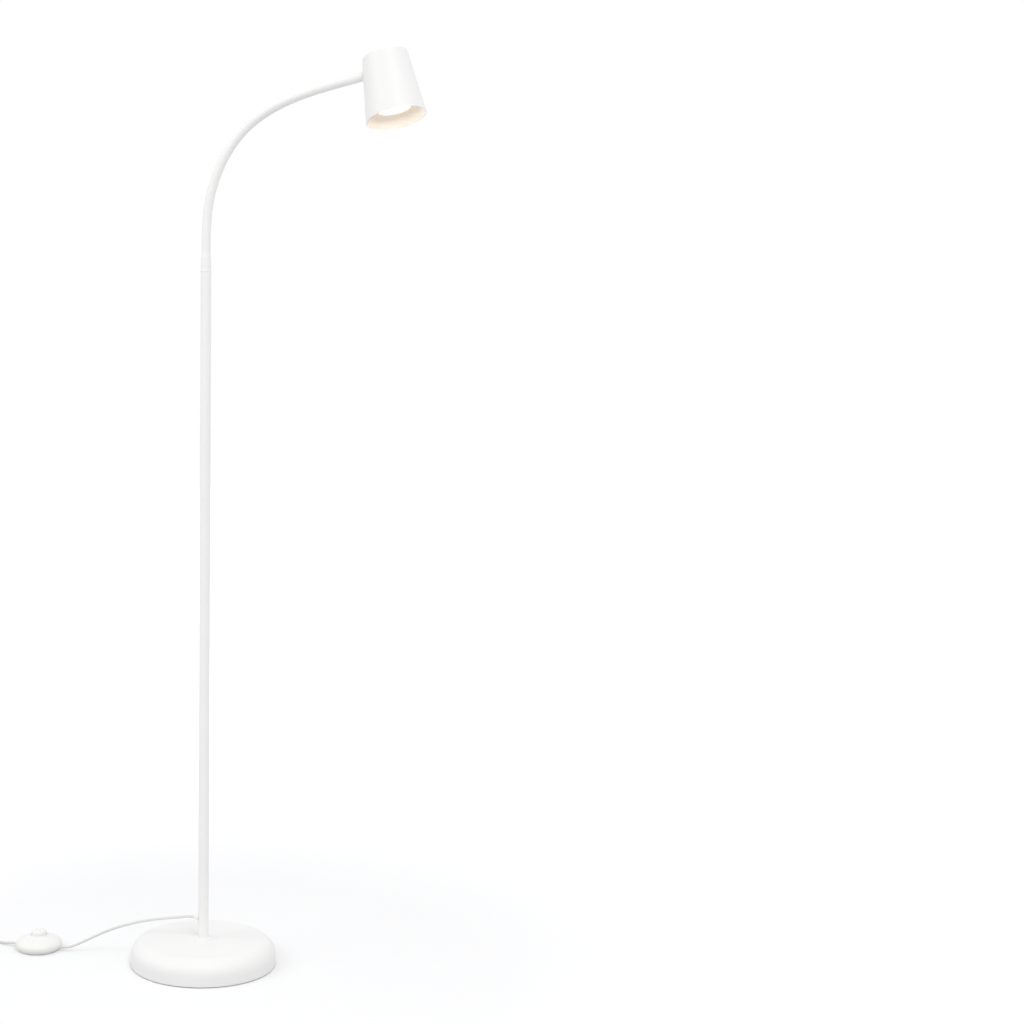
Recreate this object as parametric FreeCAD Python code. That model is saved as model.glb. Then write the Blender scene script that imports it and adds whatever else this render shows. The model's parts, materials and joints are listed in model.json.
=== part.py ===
"""Gooseneck reading floor lamp: round weighted base, pole, bendable arm and cone shade.

Millimetres. Origin at the centre of the base's underside, +Z up, +X the way the arm reaches.
The arm's centreline lies in the XZ plane, and the mains cord leaves the pole towards -X.
"""
import FreeCAD
import Part
import math
import os

V = FreeCAD.Vector
ORIGIN = V(0, 0, 0)
X_AXIS = V(1, 0, 0)
Y_AXIS = V(0, 1, 0)
Z_AXIS = V(0, 0, 1)

# ---------------------------------------------------------------- clearances
FIT = 0.05              # radial, one turned piece in another
SCREW_FIT = 0.10        # radial, a screw or stud in its hole
MOVING_GAP = 0.30       # between faces of pieces that move against each other
WALL_CUT_GAP = 0.10     # between a piece cut to a cone or a tube and that surface
CUT_PAST = 1.0          # how far a cutting tool runs past the face it cuts
EDGE_BREAK = 0.8        # rounding or chamfer of small turned edges
LEAD_IN_CHAMFER = 1.0   # at the ends of spigots and of the lamp holder
NUT_CHAMFER_SHARE = 0.2     # of a nut's height
PICK_TOLERANCE = 0.01   # when an edge is picked by its place

# ---------------------------------------------------------------- base
BASE_RADIUS = 112.4
BASE_SIDE_HEIGHT = 16.2
BASE_EDGE_ROUND = 22.0
BASE_CROWN = 0.8
CROWN_MIDDLE_SHARE = 0.72       # of the crown's rise, half way in from the shoulder
COVER_WALL = 1.2
COVER_FLOOR_GAP = 1.5
COVER_CENTRE_FLAT = 20.0
PAD_THICKNESS = 3.0
PAD_INSET = 4.4
WEIGHT_THICKNESS = 10.0
WEIGHT_EDGE_GAP = 0.5
WEIGHT_EDGE_CHAMFER = 1.5
BOSS_RADIUS = 18.0
NUT_RECESS_RADIUS = 14.0
NUT_RECESS_DEPTH = 7.0
STUD_RADIUS = 5.0
STUD_BORE_RADIUS = 3.5
STUD_END_SHORT = 0.9
STUD_TOP_SHORT = 2.0
BASE_NUT_ACROSS_FLATS = 17.0
BASE_NUT_HEIGHT = 4.0
BASE_WASHER_RADIUS = 11.0
BASE_WASHER_THICKNESS = 1.5
FLANGE_RADIUS = 15.5
FLANGE_TOP_RADIUS = 12.8
FLANGE_HEIGHT = 2.8
FLANGE_EDGE_SHARE = 1 / 3       # of its height, the flange's upright edge
FLANGE_FLARE_SHARE = 0.8        # of its height, the middle of the flare above
FLANGE_SPIGOT_LENGTH = 20.0

# ---------------------------------------------------------------- pole
POLE_RADIUS = 8.0
POLE_WALL = 1.2
POLE_SECTION_COUNT = 3
POLE_SECTION_LENGTH = 336.5
COUPLER_HALF_LENGTH = 18.0
COUPLER_BORE_RADIUS = 3.6
CORD_OUTLET_HEIGHT = 72.0

# ---------------------------------------------------------------- cord
CORD_RADIUS = 2.0
BUSHING_FLANGE_RADIUS = 5.8
BUSHING_NECK_RADIUS = 3.7
BUSHING_FLANGE_THICKNESS = 2.2
BUSHING_NOSE_LENGTH = 4.8
BUSHING_NOSE_RADIUS = 3.0
BUSHING_NECK_INSIDE = 1.0
LEAD_BEND_RADIUS = 5.0
CORD_GRIP_RADIUS = 5.6
CORD_GRIP_HEIGHT = 9.0
CORD_GRIP_RISE = 14.0
LEAD_TOP_SHORT = 4.0

# ---------------------------------------------------------------- arm root
COLLAR_HEIGHT = 8.6
FERRULE_SPIGOT_LENGTH = 24.0
BEAD_HEIGHT = 3.6
BEAD_RADIUS = 8.4
CUFF_HEIGHT = 29.6
CUFF_FOOT_RADIUS = 7.85
CUFF_SHOULDER_RADIUS = 7.6
CUFF_SHOULDER_HEIGHT = 16.0
CUFF_TAPER_SAG = 0.28
CUFF_STRAIGHT_END = 2.0
FERRULE_NECK_RADIUS = 6.4
FERRULE_NECK_HEIGHT = 14.0
HOSE_ROOT_DEPTH = 8.0

# ---------------------------------------------------------------- bendable arm
SLEEVE_RADIUS = 6.7
HOSE_RADIUS = 5.0
HOSE_BORE_RADIUS = 3.0
LINK_LENGTH = 44.5
LINK_TANGENTS = [0.0, 3.5, 15.5, 27.5, 42.5, 59.0, 69.5, 76.0, 78.0]   # degrees from upright
JOINT_BALL_RADIUS = 7.5
ARM_END_LENGTH = 25.5

# ---------------------------------------------------------------- shade
SHADE_MOUTH_RADIUS = 44.1
SHADE_TOP_RADIUS = 33.0
SHADE_LENGTH = 94.5
SHADE_TOP_ROUND = 5.0
SHADE_WALL = 1.0
HEAD_TURN = 5.0                 # degrees about the arm's last stretch, mouth towards -Y
FERRULE_SHOULDER = 2.0
FERRULE_INSIDE_LENGTH = 10.5
ARM_NUT_ACROSS_FLATS = 14.0
ARM_NUT_HEIGHT = 3.5
SADDLE_RADIUS = 8.5
BRACKET_THICKNESS = 1.2
BRACKET_WIDTH = 14.0
BRACKET_BEND_RADIUS = 0.9
BRACKET_WALL_DISTANCE = 4.1
BRACKET_LEG_BELOW = 8.0
BRACKET_TOP_CLEARANCE = 9.5     # under the shade's roof, room for the screw heads
BRACKET_NUT_GAP = 3.2           # between its plate and the corners of the arm's nut
BRACKET_REACH = 12.0
HOLDER_RADIUS = 13.0
HOLDER_HEIGHT = 19.0
HOLDER_SCREW_OFFSET = 8.5
HOLDER_SCREW_RADIUS = 1.5
HOLDER_SCREW_HEAD_RADIUS = 2.8
HOLDER_SCREW_HEAD_HEIGHT = 1.8
HOLDER_SCREW_LENGTH = 6.0
SCREW_HEAD_SIDE_SHARE = 0.4     # of the head's height, its upright side
SCREW_CROWN_SHARE = 0.6         # of the head's radius, its flat crown and the reach of its cross
SCREW_CROSS_WIDTH_SHARE = 0.28  # of the head's radius
SCREW_CROSS_FLOOR_SHARE = 0.45  # of the head's height

# ---------------------------------------------------------------- bulb (50 mm reflector, twist-lock base)
BULB_RADIUS = 25.0
BULB_RECESS = 14.0
BULB_BASE_RADIUS = 9.8
BULB_BASE_HEIGHT = 10.0
BULB_RIM_HEIGHT = 4.5
BULB_WALL = 1.4
BULB_WAIST_RADIUS = 16.0
BULB_WAIST_RISE = 3.0           # of the waist above half way from rim to base
BULB_WAIST_EXTRA_WALL = 0.6
LENS_RADIUS = 22.0
LENS_THICKNESS = 2.0
LENS_SETBACK = 0.6
LENS_SEAT_LIP = 1.2
LENS_EDGE_BREAK = 0.5
PIN_SPACING = 10.0
PIN_RADIUS = 1.5
PIN_FOOT_RADIUS = 2.4
PIN_FOOT_HEIGHT = 2.0
PIN_LENGTH = 7.0
PIN_SLOT_LIP = 3.0
PIN_POCKET_SPARE = 1.0
TWIST_RANGE = 22.0
LOCKED_PIN_ANGLES = [270.0, 90.0]    # degrees about the bulb's axis

# ---------------------------------------------------------------- foot switch
SWITCH_CENTRE_X = -272.0
SWITCH_CENTRE_Y = -4.0
SWITCH_RADIUS = 36.8
SWITCH_FOOT_RADIUS = 33.0
SWITCH_SPLIT_HEIGHT = 9.5
SWITCH_DOME_HEIGHT = 23.5
SWITCH_FLOOR_GAP = 1.0
SWITCH_WALL = 1.8
SWITCH_CORD_HEIGHT = 6.0
SWITCH_CORD_INSIDE = 6.0
SWITCH_POST_RADIUS = 3.2
SWITCH_POST_PLACES = [(20.0, 14.0), (-20.0, 14.0), (-20.0, -14.0), (20.0, -14.0)]
SWITCH_SCREW_RADIUS = 1.5
SWITCH_SCREW_HEAD_RADIUS = 2.6
SWITCH_SCREW_HEAD_HEIGHT = 1.6
SWITCH_SCREW_LENGTH = 13.0
SWITCH_SCREW_SINK = 0.4
SWITCH_EDGE_ROUND = 1.5
SWITCH_SIDE_BULGE = 0.6
SWITCH_RING_RADIUS = 17.0
SWITCH_RING_TOP_RADIUS = 14.2
SWITCH_RING_RISE = 2.7
SWITCH_RING_ROOT_SHARE = 1 / 3  # of the cover's wall, how deep the ring roots in it
SWITCH_PAD_RADIUS = 5.0
SWITCH_PAD_RING = 25.0
SWITCH_PAD_COUNT = 4
BUTTON_RADIUS = 12.5
BUTTON_TOP_HEIGHT = 31.4
BUTTON_ROUND = 3.0
BUTTON_ROUND_TURN = 75.0        # degrees, from the side to where the crown starts
BUTTON_CROWN = 0.5
BUTTON_CENTRE_FLAT = 2.0
BUTTON_WALL = 1.6
BUTTON_ROOF = 3.2
BUTTON_COLLAR_RADIUS = 14.6
BUTTON_COLLAR_HEIGHT = 0.8
BUTTON_TRAVEL = 4.0
BUTTON_STEM_RADIUS = 3.0
BUTTON_STEM_SHOULDER_RADIUS = 4.2
BUTTON_STEM_BELOW = 2.4
SPRING_RADIUS = 5.2
SPRING_WIRE_RADIUS = 0.5
SPRING_QUARTERS = 18
SPRING_SEAT_HEIGHT = 4.2
SPRING_SEAT_MARGIN = 1.4
BRIDGE_DROP = 1.0
BRIDGE_LENGTH = 24.0
BRIDGE_WIDTH = 5.0
BRIDGE_THICKNESS = 0.8
CONTACT_LENGTH = 9.0
CONTACT_OVERLAP = 2.0
CONTACT_THICKNESS = 0.8
DECK_RADIUS = 20.0
DECK_THICKNESS = 1.2
DECK_LEG_OFFSET = 14.0
DECK_LEG_THICKNESS = 3.0
DECK_LEG_WIDTH = 6.0

# ---------------------------------------------------------------- stored cord and plug
COIL_CENTRE_X = -398.0
COIL_CENTRE_Y = 0.0
COIL_OUTER_RADIUS = 28.5
COIL_PITCH = 4.5
COIL_FIRST_HEIGHT = 2.9
COIL_START_ANGLE = 90.0
COIL_LAYER_QUARTERS = [9, 9, 9, 10]
GAP_SAMPLES_PER_QUARTER = 24
TIE_WIDTH = 6.0
TIE_THICKNESS = 0.7
TIE_BEND_RADIUS = 1.5
TIE_CLEARANCE = 0.5
TIE_ANGLE = 270.0
PLUG_WIDTH = 35.3
PLUG_THICKNESS = 13.7
PLUG_BODY_LENGTH = 34.0
PLUG_NECK_WIDTH = 15.0
PLUG_SHOULDER_LENGTH = 14.0
PLUG_EDGE_ROUND = 3.0
PLUG_CORD_DEPTH = 8.0
PLUG_RELIEF_LENGTH = 24.0
PLUG_RELIEF_END_RADIUS = 4.4
PLUG_RELIEF_TIP_RADIUS = 2.9
PLUG_PIN_RADIUS = 2.0
PLUG_PIN_LENGTH = 19.0
PLUG_PIN_SPACING = 18.6
PLUG_PIN_ROOT = 8.0
PLUG_PIN_ROOT_RADIUS = 2.6

# The cord's route from the pole's bushing to the foot switch, chosen by hand.
CORD_LEAD_ROUTE = [
    (-36.0, -0.6, 69.9), (-60.0, 0.2, 66.2), (-88.0, 0.8, 60.9), (-118.0, 2.4, 52.6),
    (-146.0, 3.5, 42.4), (-170.0, 3.5, 31.4), (-190.0, 2.2, 20.8), (-207.0, 0.2, 12.2),
    (-218.0, -2.2, 7.6),
]
# The cord's route from the foot switch to the coil of its stored length.
CORD_SUPPLY_ROUTE = [
    (-327.0, -1.8, 4.4), (-338.0, 2.6, 2.6), (-349.5, 9.0, 2.2), (-360.0, 16.6, 2.3),
    (-371.5, 24.6, 2.6),
]
# The cord's last stretch, from the coil down to the plug, as steps along -Y and heights.
CORD_TAIL_ROUTE = [(20.0, 14.6), (32.0, 9.4)]
CORD_STRAIGHT_END = 12.0        # how far a cord runs straight out of a housing
CORD_TRIM_SHARE = 0.45          # of the shorter run at a corner, where its arc starts
COIL_STRAIGHT_END = 10.0        # how far it runs straight beside the coil's first point
CORD_TAIL_LENGTH = 56.0

# ---------------------------------------------------------------- worked-out levels
BASE_SHOULDER_HEIGHT = BASE_SIDE_HEIGHT + BASE_EDGE_ROUND
BASE_TOP = BASE_SHOULDER_HEIGHT + BASE_CROWN
WEIGHT_TOP = PAD_THICKNESS + WEIGHT_THICKNESS
NUT_RECESS_TOP = PAD_THICKNESS + NUT_RECESS_DEPTH
POLE_FOOT = BASE_TOP + FLANGE_HEIGHT
POLE_BORE_RADIUS = POLE_RADIUS - POLE_WALL
POLE_TOP = POLE_FOOT + POLE_SECTION_COUNT * POLE_SECTION_LENGTH
SPIGOT_RADIUS = POLE_BORE_RADIUS - FIT
COLLAR_TOP = POLE_TOP + COLLAR_HEIGHT
BEAD_TOP = COLLAR_TOP + BEAD_HEIGHT
ARM_START = BEAD_TOP + CUFF_HEIGHT
BUSHING_TIP_X = -(POLE_RADIUS + BUSHING_FLANGE_THICKNESS + BUSHING_NOSE_LENGTH)
SOCKET_RADIUS = JOINT_BALL_RADIUS + MOVING_GAP
SLEEVE_BORE_RADIUS = HOSE_RADIUS + FIT
SHADE_TILT = 90.0 - LINK_TANGENTS[-1]
BRACKET_TOP_HEIGHT = SHADE_LENGTH - SHADE_WALL - BRACKET_TOP_CLEARANCE
ARM_NUT_RADIUS = ARM_NUT_ACROSS_FLATS / math.sqrt(3)
ARM_ENTRY_HEIGHT = BRACKET_TOP_HEIGHT - BRACKET_THICKNESS - BRACKET_NUT_GAP - ARM_NUT_RADIUS
CORD_BORE_RADIUS = CORD_RADIUS + FIT
SWITCH_FLOOR = SWITCH_FLOOR_GAP + SWITCH_WALL
SWITCH_RISE = SWITCH_DOME_HEIGHT - SWITCH_SPLIT_HEIGHT
SWITCH_BORE_RADIUS = SWITCH_RADIUS - SWITCH_WALL

nodes = {}


# ---------------------------------------------------------------- shape helpers
def arc_step(centre, radius, start_deg, end_deg):
    """Middle and end point of an arc of a profile, for turned()."""
    middle = math.radians((start_deg + end_deg) / 2)
    end = math.radians(end_deg)
    return ((centre[0] + radius * math.cos(middle), centre[1] + radius * math.sin(middle)),
            (centre[0] + radius * math.cos(end), centre[1] + radius * math.sin(end)))


def profile_edges(start, steps):
    """Edges in the XZ plane from points; a step that holds two points is an arc."""
    edges = []
    here = V(start[0], 0, start[1])
    for step in list(steps) + [start]:
        if isinstance(step[0], tuple):
            middle, end = (V(point[0], 0, point[1]) for point in step)
            edges.append(Part.Arc(here, middle, end).toShape())
        else:
            end = V(step[0], 0, step[1])
            if (end - here).Length > 1e-7:
                edges.append(Part.LineSegment(here, end).toShape())
        here = end
    return edges


def turned(start, *steps):
    """Solid of revolution about Z from a closed profile of (radius, height) points."""
    face = Part.Face(Part.Wire(profile_edges(start, steps)))
    return face.revolve(ORIGIN, Z_AXIS, 360)


def rod(radius, bottom, top):
    return Part.makeCylinder(radius, top - bottom, V(0, 0, bottom))


def tube(radius, bore, bottom, top):
    return rod(radius, bottom, top).cut(rod(bore, bottom - CUT_PAST, top + CUT_PAST))


def block(x_range, y_range, z_range):
    size = [pair[1] - pair[0] for pair in (x_range, y_range, z_range)]
    return Part.makeBox(*size, V(x_range[0], y_range[0], z_range[0]))


def hexagon_nut(across_flats, bore, bottom, top):
    radius = across_flats / math.sqrt(3)
    corners = [V(radius * math.cos(math.radians(60 * k)), radius * math.sin(math.radians(60 * k)), bottom)
               for k in range(7)]
    prism = Part.Face(Part.makePolygon(corners)).extrude(V(0, 0, top - bottom))
    chamfer = (top - bottom) * NUT_CHAMFER_SHARE
    rounded = turned((0, bottom), (radius - chamfer, bottom), (radius, bottom + chamfer),
                     (radius, top - chamfer), (radius - chamfer, top), (0, top))
    return prism.common(rounded).cut(rod(bore, bottom - CUT_PAST, top + CUT_PAST))


def screw(shank_radius, head_radius, head_height, length):
    """Domed-head screw with a cross recess, head's underside at z = 0, shank going down."""
    reach = head_radius * SCREW_CROWN_SHARE
    head = turned((0, 0), (head_radius, 0), (head_radius, head_height * SCREW_HEAD_SIDE_SHARE),
                  (reach, head_height), (0, head_height))
    half_slot = head_radius * SCREW_CROSS_WIDTH_SHARE / 2
    depth = (head_height * SCREW_CROSS_FLOOR_SHARE, head_height + CUT_PAST)
    cross = block((-reach, reach), (-half_slot, half_slot), depth)
    cross = cross.fuse(block((-half_slot, half_slot), (-reach, reach), depth))
    return head.cut(cross).fuse(rod(shank_radius, -length, 0)).removeSplitter()


def arc_between(start, tangent, end):
    """Arc from start along tangent to end."""
    chord = end - start
    half_turn = tangent.getAngle(chord)
    if half_turn < 1e-6:
        return Part.LineSegment(start, end).toShape()
    side = chord.cross(tangent).cross(chord)
    side.normalize()
    middle = (start + end) * 0.5 + side * (chord.Length / 2 * math.tan(half_turn / 2))
    return Part.Arc(start, middle, end).toShape()


def biarc(start, start_tangent, end, end_tangent):
    """Two arcs that leave start and reach end along the given unit tangents."""
    gap = end - start
    both = start_tangent + end_tangent
    a = 2 * (start_tangent.dot(end_tangent) - 1)
    b = -2 * gap.dot(both)
    c = gap.dot(gap)
    reach = c / -b if abs(a) < 1e-9 else (-b - math.sqrt(b * b - 4 * a * c)) / (2 * a)
    joint = (start + start_tangent * reach + end - end_tangent * reach) * 0.5
    joint_tangent = (end - end_tangent * reach) - (start + start_tangent * reach)
    joint_tangent.normalize()
    return [arc_between(start, start_tangent, joint), arc_between(joint, joint_tangent, end)]


def winding(place, knots):
    """Biarcs through place(k) for k = 0..knots, with tangents from the formula itself."""
    step = 1e-3
    points = [place(k) for k in range(knots + 1)]
    tangents = []
    for k in range(knots + 1):
        tangent = place(k + step) - place(k - step)
        tangent.normalize()
        tangents.append(tangent)
    edges = []
    for k in range(knots):
        edges += biarc(points[k], tangents[k], points[k + 1], tangents[k + 1])
    return points, tangents, edges


def routed(points):
    """Straight runs joined by tangent arcs; returns the edges and the arcs' radii."""
    edges = []
    radii = []
    here = points[0]
    for before, corner, after in zip(points, points[1:], points[2:]):
        arriving = corner - before
        leaving = after - corner
        half_turn = arriving.getAngle(leaving) / 2
        trim = CORD_TRIM_SHARE * min(arriving.Length, leaving.Length)
        radii.append(trim / math.tan(half_turn))
        arriving.normalize()
        leaving.normalize()
        arc_start = corner - arriving * trim
        arc_end = corner + leaving * trim
        edges.append(Part.LineSegment(here, arc_start).toShape())
        edges.append(arc_between(arc_start, arriving, arc_end))
        here = arc_end
    edges.append(Part.LineSegment(here, points[-1]).toShape())
    return edges, radii


def swept(edges, radius, start, direction):
    """Round tube of one radius along a path of edges."""
    path = Part.Wire(edges)
    section = Part.Wire(Part.makeCircle(radius, start, direction))
    solid = path.makePipeShell([section], True, False)
    wanted = math.pi * radius * radius * path.Length
    print("tube length %.1f, volume over section times length %.4f" % (path.Length, solid.Volume / wanted))
    return solid


def cord_tube(name, points):
    edges, radii = routed(points)
    print(name, "arc radii", ", ".join("%.0f" % radius for radius in radii))
    return swept(edges, CORD_RADIUS, points[0], points[1] - points[0])


# ---------------------------------------------------------------- base
def make_base():
    side_top = BASE_SIDE_HEIGHT
    round_centre = (BASE_RADIUS - BASE_EDGE_ROUND, side_top)
    crown_radius = (round_centre[0] + COVER_CENTRE_FLAT) / 2
    crown_height = BASE_SHOULDER_HEIGHT + CROWN_MIDDLE_SHARE * BASE_CROWN
    inner_round = BASE_EDGE_ROUND - COVER_WALL
    outer_crown = ((crown_radius, crown_height), (COVER_CENTRE_FLAT, BASE_TOP))
    inner_crown = ((crown_radius, crown_height - COVER_WALL),
                   (round_centre[0], BASE_SHOULDER_HEIGHT - COVER_WALL))
    hole = STUD_RADIUS + SCREW_FIT
    nodes["base_cover"] = turned(
        (BASE_RADIUS, COVER_FLOOR_GAP), (BASE_RADIUS, side_top),
        arc_step(round_centre, BASE_EDGE_ROUND, 0, 90), outer_crown,
        (hole, BASE_TOP), (hole, BASE_TOP - COVER_WALL), (COVER_CENTRE_FLAT, BASE_TOP - COVER_WALL),
        inner_crown, arc_step(round_centre, inner_round, 90, 0),
        (BASE_RADIUS - COVER_WALL, COVER_FLOOR_GAP))
    weight_radius = BASE_RADIUS - COVER_WALL - WEIGHT_EDGE_GAP
    weight = turned(
        (hole, NUT_RECESS_TOP), (NUT_RECESS_RADIUS, NUT_RECESS_TOP), (NUT_RECESS_RADIUS, PAD_THICKNESS),
        (weight_radius - WEIGHT_EDGE_CHAMFER, PAD_THICKNESS),
        (weight_radius, PAD_THICKNESS + WEIGHT_EDGE_CHAMFER),
        (weight_radius, WEIGHT_TOP - WEIGHT_EDGE_CHAMFER), (weight_radius - WEIGHT_EDGE_CHAMFER, WEIGHT_TOP),
        (BOSS_RADIUS, WEIGHT_TOP), (BOSS_RADIUS, BASE_TOP - COVER_WALL), (hole, BASE_TOP - COVER_WALL))
    nodes["base_weight"] = weight
    nodes["floor_pad"] = rod(BASE_RADIUS - PAD_INSET, 0, PAD_THICKNESS)
    washer_bottom = NUT_RECESS_TOP - BASE_WASHER_THICKNESS
    nut_bottom = washer_bottom - BASE_NUT_HEIGHT
    nodes["base_washer"] = tube(BASE_WASHER_RADIUS, hole, washer_bottom, NUT_RECESS_TOP)
    nodes["base_nut"] = hexagon_nut(BASE_NUT_ACROSS_FLATS, STUD_RADIUS + FIT, nut_bottom, washer_bottom)
    spigot_top = POLE_FOOT + FLANGE_SPIGOT_LENGTH
    nodes["base_stud"] = tube(STUD_RADIUS, STUD_BORE_RADIUS, nut_bottom - STUD_END_SHORT,
                              spigot_top - STUD_TOP_SHORT)
    nodes["pole_flange"] = turned(
        (STUD_RADIUS + FIT, BASE_TOP), (FLANGE_RADIUS, BASE_TOP),
        (FLANGE_RADIUS, BASE_TOP + FLANGE_EDGE_SHARE * FLANGE_HEIGHT),
        ((FLANGE_RADIUS - EDGE_BREAK, BASE_TOP + FLANGE_FLARE_SHARE * FLANGE_HEIGHT),
         (FLANGE_TOP_RADIUS, POLE_FOOT)),
        (SPIGOT_RADIUS, POLE_FOOT), (SPIGOT_RADIUS, spigot_top - LEAD_IN_CHAMFER),
        (SPIGOT_RADIUS - LEAD_IN_CHAMFER, spigot_top),
        (STUD_RADIUS + FIT, spigot_top))


# ---------------------------------------------------------------- pole
def make_pole():
    names = ["pole_lower", "pole_middle", "pole_upper"]
    outlet = Part.makeCylinder(BUSHING_NECK_RADIUS + FIT, 2 * POLE_RADIUS,
                               V(-2 * POLE_RADIUS, 0, CORD_OUTLET_HEIGHT), X_AXIS)
    for index, name in enumerate(names):
        bottom = POLE_FOOT + index * POLE_SECTION_LENGTH
        nodes[name] = tube(POLE_RADIUS, POLE_BORE_RADIUS, bottom, bottom + POLE_SECTION_LENGTH)
        if index > 0:
            nodes["pole_coupler_%d" % index] = tube(SPIGOT_RADIUS, COUPLER_BORE_RADIUS,
                                                    bottom - COUPLER_HALF_LENGTH,
                                                    bottom + COUPLER_HALF_LENGTH)
    nodes["pole_lower"] = nodes["pole_lower"].cut(outlet)


def make_cord_outlet():
    flange_end = POLE_RADIUS + BUSHING_FLANGE_THICKNESS
    nose_end = -BUSHING_TIP_X
    inner_end = POLE_BORE_RADIUS - BUSHING_NECK_INSIDE
    neck = tube(BUSHING_NECK_RADIUS, CORD_BORE_RADIUS, inner_end, flange_end)
    flange = turned(
        (CORD_BORE_RADIUS, POLE_BORE_RADIUS), (BUSHING_FLANGE_RADIUS, POLE_BORE_RADIUS),
        (BUSHING_FLANGE_RADIUS, flange_end - EDGE_BREAK), (BUSHING_FLANGE_RADIUS - EDGE_BREAK, flange_end),
        (BUSHING_NOSE_RADIUS + EDGE_BREAK, flange_end), (BUSHING_NOSE_RADIUS, nose_end),
        (CORD_BORE_RADIUS, nose_end))
    flange.rotate(ORIGIN, Y_AXIS, -90)
    neck.rotate(ORIGIN, Y_AXIS, -90)
    for piece in (flange, neck):
        piece.translate(V(0, 0, CORD_OUTLET_HEIGHT))
    flange = flange.cut(rod(POLE_RADIUS + FIT, 0, 2 * CORD_OUTLET_HEIGHT))
    nodes["cord_bushing"] = flange.fuse(neck).removeSplitter()
    bend_centre = V(-LEAD_BEND_RADIUS, 0, CORD_OUTLET_HEIGHT + LEAD_BEND_RADIUS)
    bend_start = V(-LEAD_BEND_RADIUS, 0, CORD_OUTLET_HEIGHT)
    bend_end = V(0, 0, CORD_OUTLET_HEIGHT + LEAD_BEND_RADIUS)
    bend_middle = bend_centre + V(1, 0, -1) * (LEAD_BEND_RADIUS / math.sqrt(2))
    lead_start = V(BUSHING_TIP_X, 0, CORD_OUTLET_HEIGHT)
    lead_end = V(0, 0, POLE_TOP - FERRULE_SPIGOT_LENGTH - LEAD_TOP_SHORT)
    lead_path = [Part.LineSegment(lead_start, bend_start).toShape(),
                 Part.Arc(bend_start, bend_middle, bend_end).toShape(),
                 Part.LineSegment(bend_end, lead_end).toShape()]
    nodes["pole_lead"] = swept(lead_path, CORD_RADIUS, lead_start, X_AXIS)
    grip_bottom = CORD_OUTLET_HEIGHT + CORD_GRIP_RISE
    nodes["cord_grip"] = turned(
        (CORD_BORE_RADIUS, grip_bottom), (CORD_GRIP_RADIUS, grip_bottom),
        (SPIGOT_RADIUS, grip_bottom + CORD_GRIP_HEIGHT / 2),
        (CORD_GRIP_RADIUS, grip_bottom + CORD_GRIP_HEIGHT), (CORD_BORE_RADIUS, grip_bottom + CORD_GRIP_HEIGHT))


# ---------------------------------------------------------------- arm
def arm_stations():
    """Hinge points of the arm and the tangent angle at each, in degrees from upright."""
    points = [V(0, 0, ARM_START)]
    for start_deg, end_deg in zip(LINK_TANGENTS, LINK_TANGENTS[1:]):
        middle = math.radians((start_deg + end_deg) / 2)
        half = math.radians((end_deg - start_deg) / 2)
        chord = LINK_LENGTH * math.sin(half) / half
        points.append(points[-1] + V(math.sin(middle), 0, math.cos(middle)) * chord)
    return points


def direction(angle_deg):
    angle = math.radians(angle_deg)
    return V(math.sin(angle), 0, math.cos(angle))


def bent_rod(radius, start, start_deg, end_deg):
    """Round bar of one link's length, bent in the XZ plane as its centreline is."""
    bend_radius = LINK_LENGTH / math.radians(end_deg - start_deg)
    angle = math.radians(start_deg)
    centre = start + V(math.cos(angle), 0, -math.sin(angle)) * bend_radius
    section = Part.Face(Part.Wire(Part.makeCircle(radius, start, direction(start_deg))))
    return section.revolve(centre, Y_AXIS, end_deg - start_deg)


def ball_end(radius, bore, place, angle_deg):
    """Domed end of a link, centred on the hinge point that it turns about."""
    along = direction(angle_deg)
    bar = Part.makeCylinder(radius, JOINT_BALL_RADIUS + CUT_PAST, place, along)
    ball = Part.makeSphere(JOINT_BALL_RADIUS, place)
    drill = Part.makeCylinder(bore, JOINT_BALL_RADIUS + 2 * CUT_PAST, place - along * CUT_PAST, along)
    return bar.common(ball).cut(drill)


def link_piece(radius, bore, start, end, start_deg, end_deg):
    bar = bent_rod(radius, start, start_deg, end_deg).cut(bent_rod(bore, start, start_deg, end_deg))
    bar = bar.cut(Part.makeSphere(SOCKET_RADIUS, start))
    return bar.fuse(ball_end(radius, bore, end, end_deg)).removeSplitter()


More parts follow.
